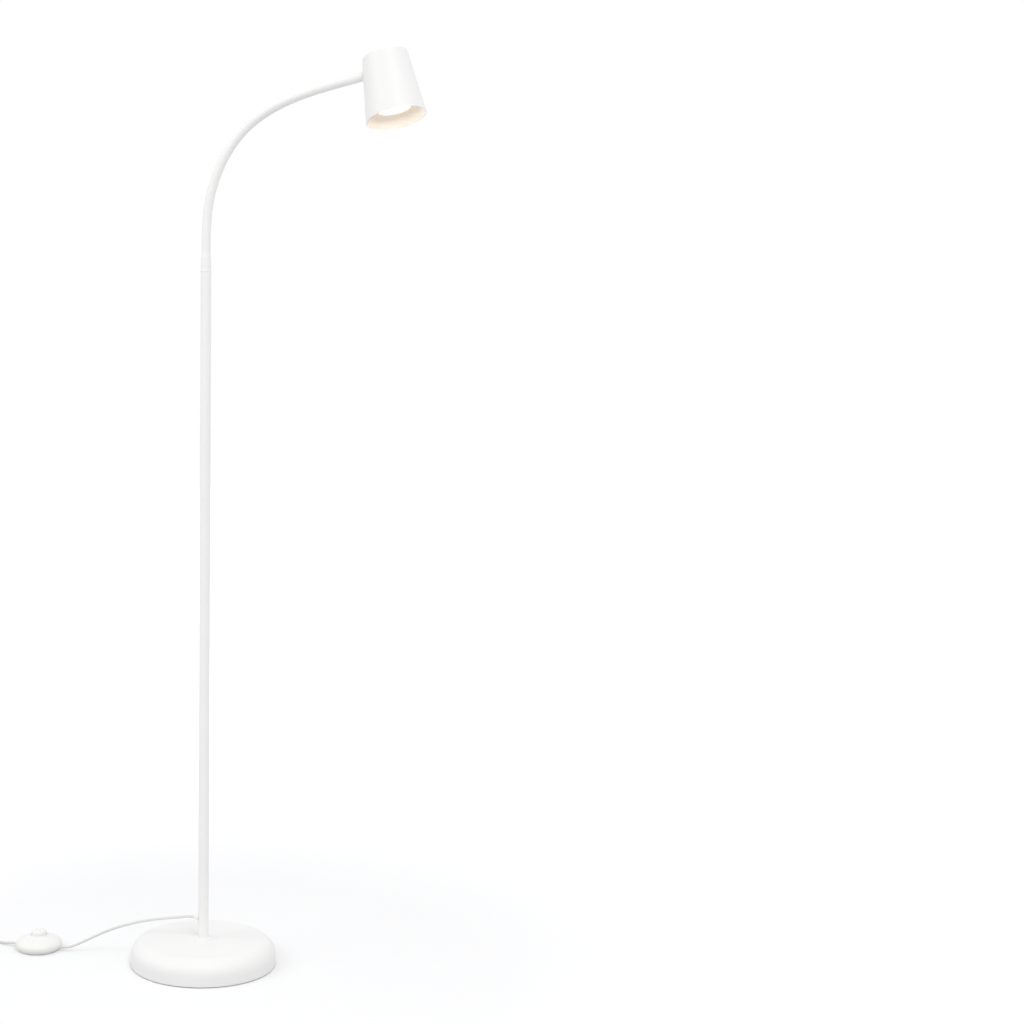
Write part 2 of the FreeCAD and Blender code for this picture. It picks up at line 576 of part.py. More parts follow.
def make_arm_root():
    spigot_bottom = POLE_TOP - FERRULE_SPIGOT_LENGTH
    neck_top = BEAD_TOP + FERRULE_NECK_HEIGHT
    hose_bottom = POLE_TOP - HOSE_ROOT_DEPTH
    lead_hole = HOSE_BORE_RADIUS
    nodes["lower_ferrule"] = turned(
        (lead_hole, spigot_bottom), (SPIGOT_RADIUS - LEAD_IN_CHAMFER, spigot_bottom),
        (SPIGOT_RADIUS, spigot_bottom + LEAD_IN_CHAMFER),
        (SPIGOT_RADIUS, POLE_TOP), (POLE_RADIUS, POLE_TOP), (POLE_RADIUS, COLLAR_TOP),
        (FERRULE_NECK_RADIUS, COLLAR_TOP), (FERRULE_NECK_RADIUS, neck_top), (SLEEVE_BORE_RADIUS, neck_top),
        (SLEEVE_BORE_RADIUS, hose_bottom), (lead_hole, hose_bottom))
    neck_bore = FERRULE_NECK_RADIUS + FIT
    nodes["bead_ring"] = turned(
        (neck_bore, COLLAR_TOP), (POLE_RADIUS, COLLAR_TOP),
        ((BEAD_RADIUS, (COLLAR_TOP + BEAD_TOP) / 2), (POLE_RADIUS, BEAD_TOP)), (neck_bore, BEAD_TOP))
    shoulder = BEAD_TOP + CUFF_SHOULDER_HEIGHT
    near_top = ARM_START - CUFF_STRAIGHT_END
    cuff = turned(
        (neck_bore, BEAD_TOP), (CUFF_FOOT_RADIUS, BEAD_TOP), (CUFF_SHOULDER_RADIUS, shoulder),
        ((CUFF_SHOULDER_RADIUS - CUFF_TAPER_SAG, (shoulder + near_top) / 2), (SLEEVE_RADIUS, near_top)),
        (SLEEVE_RADIUS, ARM_START), (SLEEVE_BORE_RADIUS, ARM_START), (SLEEVE_BORE_RADIUS, neck_top + FIT),
        (neck_bore, neck_top + FIT))
    root = V(0, 0, ARM_START)
    nodes["arm_cuff"] = cuff.fuse(ball_end(SLEEVE_RADIUS, SLEEVE_BORE_RADIUS, root, 0)).removeSplitter()
    hose = tube(HOSE_RADIUS, HOSE_BORE_RADIUS, hose_bottom, ARM_START)
    nodes["hose_root"] = hose.fuse(ball_end(HOSE_RADIUS, HOSE_BORE_RADIUS, root, 0)).removeSplitter()


def make_arm_links():
    points = arm_stations()
    for index in range(len(points) - 1):
        span = (points[index], points[index + 1], LINK_TANGENTS[index], LINK_TANGENTS[index + 1])
        nodes["sleeve_link_%d" % (index + 1)] = link_piece(SLEEVE_RADIUS, SLEEVE_BORE_RADIUS, *span)
        nodes["hose_link_%d" % (index + 1)] = link_piece(HOSE_RADIUS, HOSE_BORE_RADIUS, *span)


# ---------------------------------------------------------------- head, in its own upright frame
def shade_outer_radius(height):
    return SHADE_MOUTH_RADIUS + (SHADE_TOP_RADIUS - SHADE_MOUTH_RADIUS) * height / SHADE_LENGTH


def arm_entry():
    """Point where the arm's line meets the shade's own axis."""
    along = direction(LINK_TANGENTS[-1])
    return arm_stations()[-1] + along * (ARM_END_LENGTH + shade_outer_radius(ARM_ENTRY_HEIGHT))


def in_head(shape):
    """Puts a shape made upright on the mouth's centre on the arm's end, turned about it and tilted."""
    placed = shape.copy()
    placed.translate(V(0, 0, -ARM_ENTRY_HEIGHT))
    placed.rotate(ORIGIN, X_AXIS, -HEAD_TURN)
    placed.rotate(ORIGIN, Y_AXIS, -SHADE_TILT)
    placed.translate(arm_entry())
    return placed


def shade_profile(outside_gap, top):
    """Solid cone of the shade's outside, grown by a gap, with its rounded top."""
    slope = math.atan((SHADE_MOUTH_RADIUS - SHADE_TOP_RADIUS) / SHADE_LENGTH)
    grow = outside_gap / math.cos(slope)
    round_radius = SHADE_TOP_ROUND + outside_gap
    centre_height = top - round_radius
    side_at = shade_outer_radius(centre_height) + grow
    centre_radius = side_at - round_radius / math.cos(slope)
    tangent_deg = math.degrees(slope)
    start = arc_step((centre_radius, centre_height), round_radius, 0, tangent_deg)[1]
    return turned((0, 0), (shade_outer_radius(0) + grow, 0), start,
                  arc_step((centre_radius, centre_height), round_radius, tangent_deg, 90), (0, top))


def along_arm(shape):
    """Turns a shape made upright to lie along the arm's last stretch, in the head's frame."""
    placed = shape.copy()
    placed.rotate(ORIGIN, Y_AXIS, 90)
    placed.translate(V(0, 0, ARM_ENTRY_HEIGHT))
    return placed


def make_shade():
    outside = shade_profile(0, SHADE_LENGTH)
    inside = shade_profile(-SHADE_WALL, SHADE_LENGTH - SHADE_WALL)
    entry = along_arm(rod(STUD_RADIUS + SCREW_FIT, -SHADE_MOUTH_RADIUS, 0))
    shade = outside.cut(inside).cut(entry)
    nodes["shade"] = in_head(shade)
    wall = shade_outer_radius(ARM_ENTRY_HEIGHT)
    hinge = -(wall + ARM_END_LENGTH)
    socket = along_arm(Part.makeSphere(SOCKET_RADIUS, V(0, 0, hinge)))
    cone = shade_profile(WALL_CUT_GAP, SHADE_LENGTH + WALL_CUT_GAP)
    shoulder_start = -(wall + FERRULE_SHOULDER)
    sleeve_end = along_arm(tube(SLEEVE_RADIUS, SLEEVE_BORE_RADIUS, hinge, shoulder_start)).cut(socket)
    nodes["sleeve_end"] = in_head(sleeve_end)
    inner_end = -(wall - FERRULE_INSIDE_LENGTH)
    shank = along_arm(rod(STUD_RADIUS, hinge, inner_end))
    shoulder = along_arm(rod(SLEEVE_RADIUS, shoulder_start, -(wall - SHADE_WALL))).cut(cone)
    drill = along_arm(rod(HOSE_BORE_RADIUS, hinge - CUT_PAST, inner_end + CUT_PAST))
    nodes["upper_ferrule"] = in_head(shank.cut(socket).fuse(shoulder).cut(drill).removeSplitter())


def make_holder():
    wall = shade_outer_radius(ARM_ENTRY_HEIGHT)
    leg_outside = -(wall - BRACKET_WALL_DISTANCE)
    leg_inside = leg_outside + BRACKET_THICKNESS
    half_width = BRACKET_WIDTH / 2
    plate_bottom = BRACKET_TOP_HEIGHT - BRACKET_THICKNESS
    leg = block((leg_outside, leg_inside), (-half_width, half_width),
                (ARM_ENTRY_HEIGHT - BRACKET_LEG_BELOW, BRACKET_TOP_HEIGHT))
    plate = block((leg_outside, BRACKET_REACH), (-half_width, half_width), (plate_bottom, BRACKET_TOP_HEIGHT))
    stud_hole = along_arm(rod(STUD_RADIUS + SCREW_FIT, leg_outside - CUT_PAST, leg_inside + CUT_PAST))
    bracket = leg.fuse(plate).removeSplitter()
    corner = [edge for edge in bracket.Edges
              if abs(edge.CenterOfMass.x - leg_outside) < PICK_TOLERANCE
              and abs(edge.CenterOfMass.z - BRACKET_TOP_HEIGHT) < PICK_TOLERANCE]
    bracket = bracket.makeFillet(BRACKET_BEND_RADIUS, corner).cut(stud_hole)
    bracket = bracket.cut(rod(HOSE_BORE_RADIUS, plate_bottom - CUT_PAST, BRACKET_TOP_HEIGHT + CUT_PAST))
    inside = shade_profile(-(SHADE_WALL + WALL_CUT_GAP), SHADE_LENGTH - SHADE_WALL - WALL_CUT_GAP)
    saddle = tube(SADDLE_RADIUS, STUD_RADIUS + SCREW_FIT, -(wall + CUT_PAST), leg_outside)
    saddle = along_arm(saddle).common(inside)
    nodes["saddle_washer"] = in_head(saddle)
    nut = hexagon_nut(ARM_NUT_ACROSS_FLATS, STUD_RADIUS + FIT, leg_inside, leg_inside + ARM_NUT_HEIGHT)
    nodes["arm_nut"] = in_head(along_arm(nut))
    holder_bottom = plate_bottom - HOLDER_HEIGHT
    inner_edge = HOLDER_RADIUS - LEAD_IN_CHAMFER
    holder = turned((0, holder_bottom), (inner_edge, holder_bottom),
                    (HOLDER_RADIUS, holder_bottom + LEAD_IN_CHAMFER),
                    (HOLDER_RADIUS, plate_bottom - LEAD_IN_CHAMFER), (inner_edge, plate_bottom),
                    (0, plate_bottom))
    shanks = []
    screws = []
    for side in (-1, 1):
        place = V(side * HOLDER_SCREW_OFFSET, 0, BRACKET_TOP_HEIGHT)
        piece = screw(HOLDER_SCREW_RADIUS, HOLDER_SCREW_HEAD_RADIUS, HOLDER_SCREW_HEAD_HEIGHT,
                      HOLDER_SCREW_LENGTH)
        piece.translate(place)
        screws.append(piece)
        hole_bottom = place - V(0, 0, HOLDER_SCREW_LENGTH + CUT_PAST)
        shanks.append(Part.makeCylinder(HOLDER_SCREW_RADIUS + SCREW_FIT, HOLDER_SCREW_LENGTH + 2 * CUT_PAST,
                                        hole_bottom))
    for shank in shanks:
        bracket = bracket.cut(shank)
        holder = holder.cut(shank)
    for pocket in pin_pockets(holder_bottom):
        holder = holder.cut(pocket)
    nodes["holder_bracket"] = in_head(bracket)
    nodes["lamp_holder"] = in_head(holder)
    nodes["holder_screws"] = in_head(Part.makeCompound(screws))
    return holder_bottom


def pin_pockets(holder_bottom):
    """Slots in the holder's face that the bulb's mushroom pins turn in, and are lifted out of."""
    foot_half = PIN_FOOT_RADIUS + MOVING_GAP
    neck_half = PIN_RADIUS + MOVING_GAP
    lip_top = holder_bottom + PIN_SLOT_LIP
    pocket_top = holder_bottom + PIN_LENGTH + PIN_POCKET_SPARE
    pockets = []
    for locked in LOCKED_PIN_ANGLES:
        unlocked = locked - TWIST_RANGE
        pockets += round_ended_slot(foot_half, lip_top, pocket_top, unlocked, locked)
        pockets += round_ended_slot(neck_half, holder_bottom - CUT_PAST, lip_top, unlocked, locked)
        pockets.append(pin_hole(foot_half, holder_bottom - CUT_PAST, pocket_top, unlocked))
    return pockets


def pin_place(angle_deg, height):
    angle = math.radians(angle_deg)
    ring = PIN_SPACING / 2
    return V(ring * math.cos(angle), ring * math.sin(angle), height)


def pin_hole(radius, bottom, top, angle_deg):
    return Part.makeCylinder(radius, top - bottom, pin_place(angle_deg, bottom))


def round_ended_slot(half_width, bottom, top, first_deg, last_deg):
    ring = PIN_SPACING / 2
    return [ring_sector(ring - half_width, ring + half_width, bottom, top, first_deg, last_deg - first_deg),
            pin_hole(half_width, bottom, top, first_deg), pin_hole(half_width, bottom, top, last_deg)]


def ring_sector(inner, outer, bottom, top, first_deg, sweep_deg):
    face = Part.Face(Part.Wire(profile_edges((inner, bottom), [(outer, bottom), (outer, top), (inner, top)])))
    face.rotate(ORIGIN, Z_AXIS, first_deg)
    return face.revolve(ORIGIN, Z_AXIS, sweep_deg)


def make_bulb(holder_bottom):
    base_top = holder_bottom - MOVING_GAP
    base_bottom = base_top - BULB_BASE_HEIGHT
    rim_top = BULB_RECESS + BULB_RIM_HEIGHT
    waist_height = (base_bottom + rim_top) / 2 + BULB_WAIST_RISE
    inner_waist = (BULB_WAIST_RADIUS - BULB_WALL - BULB_WAIST_EXTRA_WALL, waist_height - CUT_PAST)
    lip = LENS_RADIUS - LENS_SEAT_LIP
    lens_bottom = BULB_RECESS + LENS_SETBACK
    lens_top = lens_bottom + LENS_THICKNESS
    seat = LENS_RADIUS + FIT
    floor_height = base_bottom - BULB_WALL
    nodes["bulb_body"] = in_head(turned(
        (0, base_top), (BULB_BASE_RADIUS - EDGE_BREAK, base_top), (BULB_BASE_RADIUS, base_top - EDGE_BREAK),
        (BULB_BASE_RADIUS, base_bottom),
        ((BULB_WAIST_RADIUS, waist_height), (BULB_RADIUS, rim_top)),
        (BULB_RADIUS, BULB_RECESS + EDGE_BREAK), (BULB_RADIUS - EDGE_BREAK, BULB_RECESS), (seat, BULB_RECESS),
        (seat, lens_top), (lip, lens_top), (lip, rim_top),
        (inner_waist, (BULB_BASE_RADIUS - BULB_WALL, floor_height)),
        (0, floor_height)))
    nodes["bulb_lens"] = in_head(turned(
        (0, lens_bottom), (LENS_RADIUS - LENS_EDGE_BREAK, lens_bottom),
        (LENS_RADIUS, lens_bottom + LENS_EDGE_BREAK),
        (LENS_RADIUS, lens_top), (0, lens_top)))
    pins = []
    for locked in LOCKED_PIN_ANGLES:
        stem = rod(PIN_RADIUS, base_top, base_top + PIN_LENGTH)
        foot = rod(PIN_FOOT_RADIUS, base_top + PIN_LENGTH - PIN_FOOT_HEIGHT, base_top + PIN_LENGTH)
        pin = stem.fuse(foot).removeSplitter()
        pin.translate(pin_place(locked, 0))
        pins.append(pin)
    nodes["bulb_pins"] = in_head(Part.makeCompound(pins))


# ---------------------------------------------------------------- foot switch, about its own centre
def at_switch(shape):
    placed = shape.copy()
    placed.translate(V(SWITCH_CENTRE_X, SWITCH_CENTRE_Y, 0))
    return placed


def switch_dome(radius, rise):
    """Half-ellipse dome that stands on the split plane."""
    centre = V(0, 0, SWITCH_SPLIT_HEIGHT)
    rim = V(radius, 0, SWITCH_SPLIT_HEIGHT)
    crown = V(0, 0, SWITCH_SPLIT_HEIGHT + rise)
    curve = Part.ArcOfEllipse(Part.Ellipse(rim, crown, centre), 0, math.pi / 2).toShape()
    sides = [Part.LineSegment(crown, centre).toShape(), Part.LineSegment(centre, rim).toShape()]
    return Part.Face(Part.Wire([curve] + sides)).revolve(ORIGIN, Z_AXIS, 360)


def dome_height(radius):
    return SWITCH_SPLIT_HEIGHT + SWITCH_RISE * math.sqrt(1 - (radius / SWITCH_RADIUS) ** 2)


def button_ring():
    """Raised ring round the button's hole, with a hollow flare down to the dome."""
    foot = dome_height(SWITCH_RING_RADIUS)
    top = foot + SWITCH_RING_RISE
    bottom = foot - SWITCH_WALL * SWITCH_RING_ROOT_SHARE
    bore = BUTTON_RADIUS + MOVING_GAP
    hollow = 1 - math.sqrt(0.5)
    flare_middle = (SWITCH_RING_TOP_RADIUS + hollow * (SWITCH_RING_RADIUS - SWITCH_RING_TOP_RADIUS),
                    foot + hollow * SWITCH_RING_RISE)
    return turned((bore, bottom), (SWITCH_RING_RADIUS, bottom), (SWITCH_RING_RADIUS, foot),
                  (flare_middle, (SWITCH_RING_TOP_RADIUS, top)), (bore, top))


def switch_shell():
    """Lower shell, open at the split, with the cord's two entries."""
    foot = SWITCH_FOOT_RADIUS
    flat = foot - SWITCH_EDGE_ROUND
    inner_foot = foot - SWITCH_WALL
    side_middle = (foot + SWITCH_RADIUS) / 2 + SWITCH_SIDE_BULGE
    middle_height = (SWITCH_FLOOR_GAP + SWITCH_SPLIT_HEIGHT) / 2
    shell = turned(
        (0, SWITCH_FLOOR_GAP), (flat, SWITCH_FLOOR_GAP),
        arc_step((flat, SWITCH_FLOOR_GAP + SWITCH_EDGE_ROUND), SWITCH_EDGE_ROUND, 270, 360),
        ((side_middle, middle_height), (SWITCH_RADIUS, SWITCH_SPLIT_HEIGHT)),
        (SWITCH_BORE_RADIUS, SWITCH_SPLIT_HEIGHT),
        ((side_middle - SWITCH_WALL, middle_height + CUT_PAST), (inner_foot, SWITCH_FLOOR + EDGE_BREAK)),
        (inner_foot - EDGE_BREAK, SWITCH_FLOOR), (0, SWITCH_FLOOR))
    reach = SWITCH_RADIUS + CUT_PAST
    entries = Part.makeCylinder(CORD_BORE_RADIUS, 2 * reach, V(-reach, 0, SWITCH_CORD_HEIGHT), X_AXIS)
    return shell.cut(entries)


def make_switch():
    cover = switch_dome(SWITCH_RADIUS, SWITCH_RISE)
    cover = cover.cut(switch_dome(SWITCH_BORE_RADIUS, SWITCH_RISE - SWITCH_WALL))
    cover = cover.cut(rod(BUTTON_RADIUS + MOVING_GAP, SWITCH_SPLIT_HEIGHT, SWITCH_DOME_HEIGHT + CUT_PAST))
    cover = cover.fuse(button_ring())
    post_limit = switch_dome(SWITCH_BORE_RADIUS + SWITCH_WALL / 2, SWITCH_RISE - SWITCH_WALL / 2)
    shell = switch_shell()
    head_seat = SWITCH_FLOOR_GAP + SWITCH_SCREW_HEAD_HEIGHT + SWITCH_SCREW_SINK
    screws = []
    for x, y in SWITCH_POST_PLACES:
        seat = V(x, y, head_seat)
        upper = Part.makeCylinder(SWITCH_POST_RADIUS, SWITCH_RISE, V(x, y, SWITCH_SPLIT_HEIGHT))
        lower = Part.makeCylinder(SWITCH_POST_RADIUS, SWITCH_SPLIT_HEIGHT - SWITCH_FLOOR, V(x, y, SWITCH_FLOOR))
        hole = Part.makeCylinder(SWITCH_SCREW_RADIUS + SCREW_FIT, SWITCH_SCREW_LENGTH + CUT_PAST, seat)
        sink = Part.makeCylinder(SWITCH_SCREW_HEAD_RADIUS + MOVING_GAP, head_seat, V(x, y, 0))
        cover = cover.fuse(upper.common(post_limit)).cut(hole)
        shell = shell.fuse(lower).cut(hole).cut(sink)
        piece = screw(SWITCH_SCREW_RADIUS, SWITCH_SCREW_HEAD_RADIUS, SWITCH_SCREW_HEAD_HEIGHT,
                      SWITCH_SCREW_LENGTH)
        piece.rotate(ORIGIN, X_AXIS, 180)
        piece.translate(seat)
        screws.append(piece)
    nodes["switch_cover"] = at_switch(cover.removeSplitter())
    nodes["switch_screws"] = at_switch(Part.makeCompound(screws))
    pads = []
    for index in range(SWITCH_PAD_COUNT):
        place = direction(360 / SWITCH_PAD_COUNT * index) * SWITCH_PAD_RING
        pads.append(Part.makeCylinder(SWITCH_PAD_RADIUS, SWITCH_FLOOR_GAP, V(place.x, place.z, 0)))
    nodes["switch_feet"] = at_switch(Part.makeCompound(pads))
    bridge_bottom = make_button()
    deck = make_contacts(bridge_bottom)
    make_button_spring(bridge_bottom)
    nodes["switch_base"] = at_switch(shell.fuse(deck).removeSplitter())


def make_button():
    """Push button with its collar and stem, and the contact bridge that the stem carries."""
    inside_rise = (SWITCH_RISE - SWITCH_WALL) * math.sqrt(1 - (BUTTON_COLLAR_RADIUS / SWITCH_BORE_RADIUS) ** 2)
    collar_top = SWITCH_SPLIT_HEIGHT + inside_rise - MOVING_GAP
    skirt_bottom = collar_top - BUTTON_COLLAR_HEIGHT
    roof = BUTTON_TOP_HEIGHT - BUTTON_ROOF
    corner = (BUTTON_RADIUS - BUTTON_ROUND, BUTTON_TOP_HEIGHT - BUTTON_ROUND - BUTTON_CROWN)
    inner = BUTTON_RADIUS - BUTTON_WALL
    edge_round = arc_step(corner, BUTTON_ROUND, 0, BUTTON_ROUND_TURN)
    crown_edge = edge_round[1]
    crown_middle = ((crown_edge[0] + BUTTON_CENTRE_FLAT) / 2,
                    BUTTON_TOP_HEIGHT - (BUTTON_TOP_HEIGHT - crown_edge[1]) / 4)
    button = turned(
        (inner, skirt_bottom), (BUTTON_RADIUS, skirt_bottom), (BUTTON_RADIUS, corner[1]), edge_round,
        (crown_middle, (BUTTON_CENTRE_FLAT, BUTTON_TOP_HEIGHT)), (0, BUTTON_TOP_HEIGHT),
        (0, roof), (inner, roof))
    collar = tube(BUTTON_COLLAR_RADIUS, inner, skirt_bottom, collar_top)
    bridge_top = skirt_bottom - BRIDGE_DROP
    stem = rod(BUTTON_STEM_RADIUS, bridge_top - BUTTON_STEM_BELOW, bridge_top)
    stem = stem.fuse(rod(BUTTON_STEM_SHOULDER_RADIUS, bridge_top, roof))
    nodes["switch_button"] = at_switch(button.fuse(collar).fuse(stem).removeSplitter())
    bridge_bottom = bridge_top - BRIDGE_THICKNESS
    bridge = block((-BRIDGE_LENGTH / 2, BRIDGE_LENGTH / 2), (-BRIDGE_WIDTH / 2, BRIDGE_WIDTH / 2),
                   (bridge_bottom, bridge_top))
    bridge = bridge.fuse(rod(SPRING_RADIUS + SPRING_SEAT_MARGIN, bridge_bottom, bridge_top))
    bridge = bridge.cut(rod(BUTTON_STEM_RADIUS + FIT, bridge_bottom - CUT_PAST, bridge_top + CUT_PAST))
    nodes["contact_bridge"] = at_switch(bridge.removeSplitter())
    return bridge_bottom


def make_contacts(bridge_bottom):
    """Fixed contacts under the bridge's ends; returns the deck, posts and legs that carry them."""
    contact_top = bridge_bottom - BUTTON_TRAVEL - MOVING_GAP
    deck_bottom = SWITCH_CORD_HEIGHT + CORD_BORE_RADIUS + MOVING_GAP
    deck = tube(DECK_RADIUS, SPRING_RADIUS + SPRING_SEAT_MARGIN, deck_bottom, deck_bottom + DECK_THICKNESS)
    contacts = []
    half_width = BRIDGE_WIDTH / 2
    half_leg = DECK_LEG_WIDTH / 2
    inner_end = BRIDGE_LENGTH / 2 - CONTACT_OVERLAP
    for side in (-1, 1):
        reach = sorted((side * inner_end, side * (inner_end + CONTACT_LENGTH)))
        contacts.append(block(reach, (-half_width, half_width), (contact_top - CONTACT_THICKNESS, contact_top)))
        post = block(reach, (-half_width, half_width), (deck_bottom, contact_top - CONTACT_THICKNESS))
        leg_reach = sorted((side * DECK_LEG_OFFSET, side * (DECK_LEG_OFFSET + DECK_LEG_THICKNESS)))
        leg = block((-half_leg, half_leg), leg_reach, (SWITCH_FLOOR, deck_bottom + DECK_THICKNESS))
        deck = deck.fuse(post).fuse(leg)
    nodes["fixed_contacts"] = at_switch(Part.makeCompound(contacts))
    return deck.fuse(rod(SPRING_RADIUS + SPRING_SEAT_MARGIN, SWITCH_FLOOR, SPRING_SEAT_HEIGHT))


def make_button_spring(bridge_bottom):
    bottom = SPRING_SEAT_HEIGHT + SPRING_WIRE_RADIUS + FIT
    top = bridge_bottom - SPRING_WIRE_RADIUS - FIT
    rise = (top - bottom) / SPRING_QUARTERS

    def place(knot):
        angle = math.radians(90 * knot)
        return V(SPRING_RADIUS * math.cos(angle), SPRING_RADIUS * math.sin(angle), bottom + rise * knot)

    points, tangents, edges = winding(place, SPRING_QUARTERS)
    nodes["button_spring"] = at_switch(swept(edges, SPRING_WIRE_RADIUS, points[0], tangents[0]))


# ---------------------------------------------------------------- mains cord, coil, tie and plug
def coil_place(knot):
    """Point of the coil's centreline after a number of quarter turns, in and out layer by layer."""
    radius = COIL_OUTER_RADIUS
    height = COIL_FIRST_HEIGHT
    last = len(COIL_LAYER_QUARTERS) - 1
    start = 0
    for index, quarters in enumerate(COIL_LAYER_QUARTERS):
        outward = 1 if index % 2 else -1
        passed = knot - start
        if index > 0:
            passed = max(passed, 0)
        if index < last:
            passed = min(passed, quarters)
            climb = min(max((knot - start - quarters + 1) / 2, 0), 1)
            height += COIL_PITCH * climb * climb * (3 - 2 * climb)
        radius += outward * COIL_PITCH / 4 * passed
        start += quarters
    angle = math.radians(COIL_START_ANGLE + 90 * knot)
    return V(COIL_CENTRE_X + radius * math.cos(angle), COIL_CENTRE_Y + radius * math.sin(angle), height)


def print_least_gap(place, knots, wire_radius, name):
    """Least distance between turns of a winding, less the wire's thickness."""
    steps = GAP_SAMPLES_PER_QUARTER
    samples = [place(k / steps) for k in range(knots * steps + 1)]
    least = min((samples[i] - samples[j]).Length
                for i in range(0, len(samples), 3) for j in range(i + 3 * steps, len(samples)))
    print(name, "least gap to itself %.2f" % (least - 2 * wire_radius))


def make_cord():
    straight = V(CORD_STRAIGHT_END, 0, 0)
    exit_point = V(BUSHING_TIP_X, 0, CORD_OUTLET_HEIGHT)
    inside = SWITCH_RADIUS - SWITCH_CORD_INSIDE
    entry = V(SWITCH_CENTRE_X + inside, SWITCH_CENTRE_Y, SWITCH_CORD_HEIGHT)
    lead = [exit_point, exit_point - straight] + [V(*point) for point in CORD_LEAD_ROUTE]
    lead += [entry + straight, entry]
    nodes["cord_lead"] = cord_tube("cord_lead", lead)
    leaving = V(SWITCH_CENTRE_X - inside, SWITCH_CENTRE_Y, SWITCH_CORD_HEIGHT)
    knots = sum(COIL_LAYER_QUARTERS)
    points, tangents, edges = winding(coil_place, knots)
    coil_entry = points[0] - tangents[0] * (2 * CORD_RADIUS)
    supply = [leaving, leaving - straight] + [V(*point) for point in CORD_SUPPLY_ROUTE]
    supply += [coil_entry - tangents[0] * COIL_STRAIGHT_END, coil_entry]
    nodes["cord_supply"] = cord_tube("cord_supply", supply)
    coil_end = points[-1]
    level = PLUG_THICKNESS / 2
    tail_start = coil_end + tangents[-1] * COIL_STRAIGHT_END
    tail_end = V(tail_start.x, coil_end.y - CORD_TAIL_LENGTH, level)
    tail = [coil_end, tail_start]
    tail += [V(tail_start.x, coil_end.y - step, height) for step, height in CORD_TAIL_ROUTE]
    tail += [tail_end + V(0, CORD_STRAIGHT_END, 0), tail_end]
    tail_edges, radii = routed(tail)
    print("cord tail arc radii", ", ".join("%.0f" % radius for radius in radii))
    lead_in = Part.LineSegment(coil_entry, points[0]).toShape()
    nodes["cord_coil"] = swept([lead_in] + edges + tail_edges, CORD_RADIUS, coil_entry, tangents[0])
    print_least_gap(coil_place, knots, CORD_RADIUS, "cord_coil")
    return tail_end


def make_tie():
    angle = math.radians(TIE_ANGLE)
    inner_radius = COIL_OUTER_RADIUS - COIL_LAYER_QUARTERS[0] * COIL_PITCH / 4
    near = inner_radius - CORD_RADIUS - TIE_CLEARANCE
    far = COIL_OUTER_RADIUS + CORD_RADIUS + TIE_CLEARANCE
    layers = len(COIL_LAYER_QUARTERS)
    low = TIE_THICKNESS
    high = COIL_FIRST_HEIGHT + (layers - 1) * COIL_PITCH + CORD_RADIUS + TIE_CLEARANCE
    half = TIE_WIDTH / 2
    outer = block((near - TIE_THICKNESS, far + TIE_THICKNESS), (-half, half), (0, high + TIE_THICKNESS))
    corners = [edge for edge in outer.Edges if abs(edge.tangentAt(edge.FirstParameter).y) > 0.9]
    outer = outer.makeFillet(TIE_BEND_RADIUS, corners)
    band = outer.cut(block((near, far), (-half - CUT_PAST, half + CUT_PAST), (low, high)))
    band.rotate(ORIGIN, Z_AXIS, math.degrees(angle))
    band.translate(V(COIL_CENTRE_X, COIL_CENTRE_Y, 0))
    nodes["cord_tie"] = band


def make_plug(cord_end):
    """Flat two-pin plug lying on the floor, pins pointing along -Y."""
    level = PLUG_THICKNESS / 2
    relief = turned((CORD_BORE_RADIUS, 0), (PLUG_RELIEF_TIP_RADIUS, 0),
                    (PLUG_RELIEF_END_RADIUS, PLUG_RELIEF_LENGTH), (0, PLUG_RELIEF_LENGTH),
                    (0, PLUG_CORD_DEPTH), (CORD_BORE_RADIUS, PLUG_CORD_DEPTH))
    half_neck = PLUG_NECK_WIDTH / 2
    half = PLUG_WIDTH / 2
    start = PLUG_RELIEF_LENGTH
    end = start + PLUG_BODY_LENGTH
    shoulder = start + PLUG_SHOULDER_LENGTH
    outline = [V(-half_neck, 0, start), V(half_neck, 0, start), V(half, 0, shoulder), V(half, 0, end),
               V(-half, 0, end), V(-half, 0, shoulder), V(-half_neck, 0, start)]
    body = Part.Face(Part.makePolygon(outline)).extrude(V(0, PLUG_THICKNESS, 0))
    body.translate(V(0, -level, 0))
    body = body.makeFillet(PLUG_EDGE_ROUND, body.Edges)
    pins = []
    holes = []
    for side in (-1, 1):
        tip = end + PLUG_PIN_LENGTH
        root = end - PLUG_PIN_ROOT
        pin = turned((0, root), (PLUG_PIN_ROOT_RADIUS, root), (PLUG_PIN_ROOT_RADIUS, end),
                     (PLUG_PIN_RADIUS, end), (PLUG_PIN_RADIUS, tip - EDGE_BREAK),
                     (PLUG_PIN_RADIUS - EDGE_BREAK, tip), (0, tip))
        hole = rod(PLUG_PIN_ROOT_RADIUS + FIT, root, end + CUT_PAST)
        for piece in (pin, hole):
            piece.translate(V(side * PLUG_PIN_SPACING / 2, 0, 0))
        pins.append(pin)
        holes.append(hole)
    body = body.fuse(relief)
    for hole in holes:
        body = body.cut(hole)
    for name, shape in (("plug_body", body.removeSplitter()), ("plug_pins", Part.makeCompound(pins))):
        placed = shape.copy()
        placed.rotate(ORIGIN, X_AXIS, 90)
        placed.translate(V(cord_end.x, cord_end.y + PLUG_CORD_DEPTH, level))
        nodes[name] = placed


make_base()
make_pole()
make_cord_outlet()
make_arm_root()
make_arm_links()
make_shade()
make_bulb(make_holder())
make_switch()
make_plug(make_cord())
make_tie()

os.makedirs("parts", exist_ok=True)
for node_name in sorted(nodes):
    piece = nodes[node_name]
    if not piece.isValid():
        print("not valid:", node_name)
    piece.exportStep("parts/%s.step" % node_name)
print(len(nodes), "nodes")
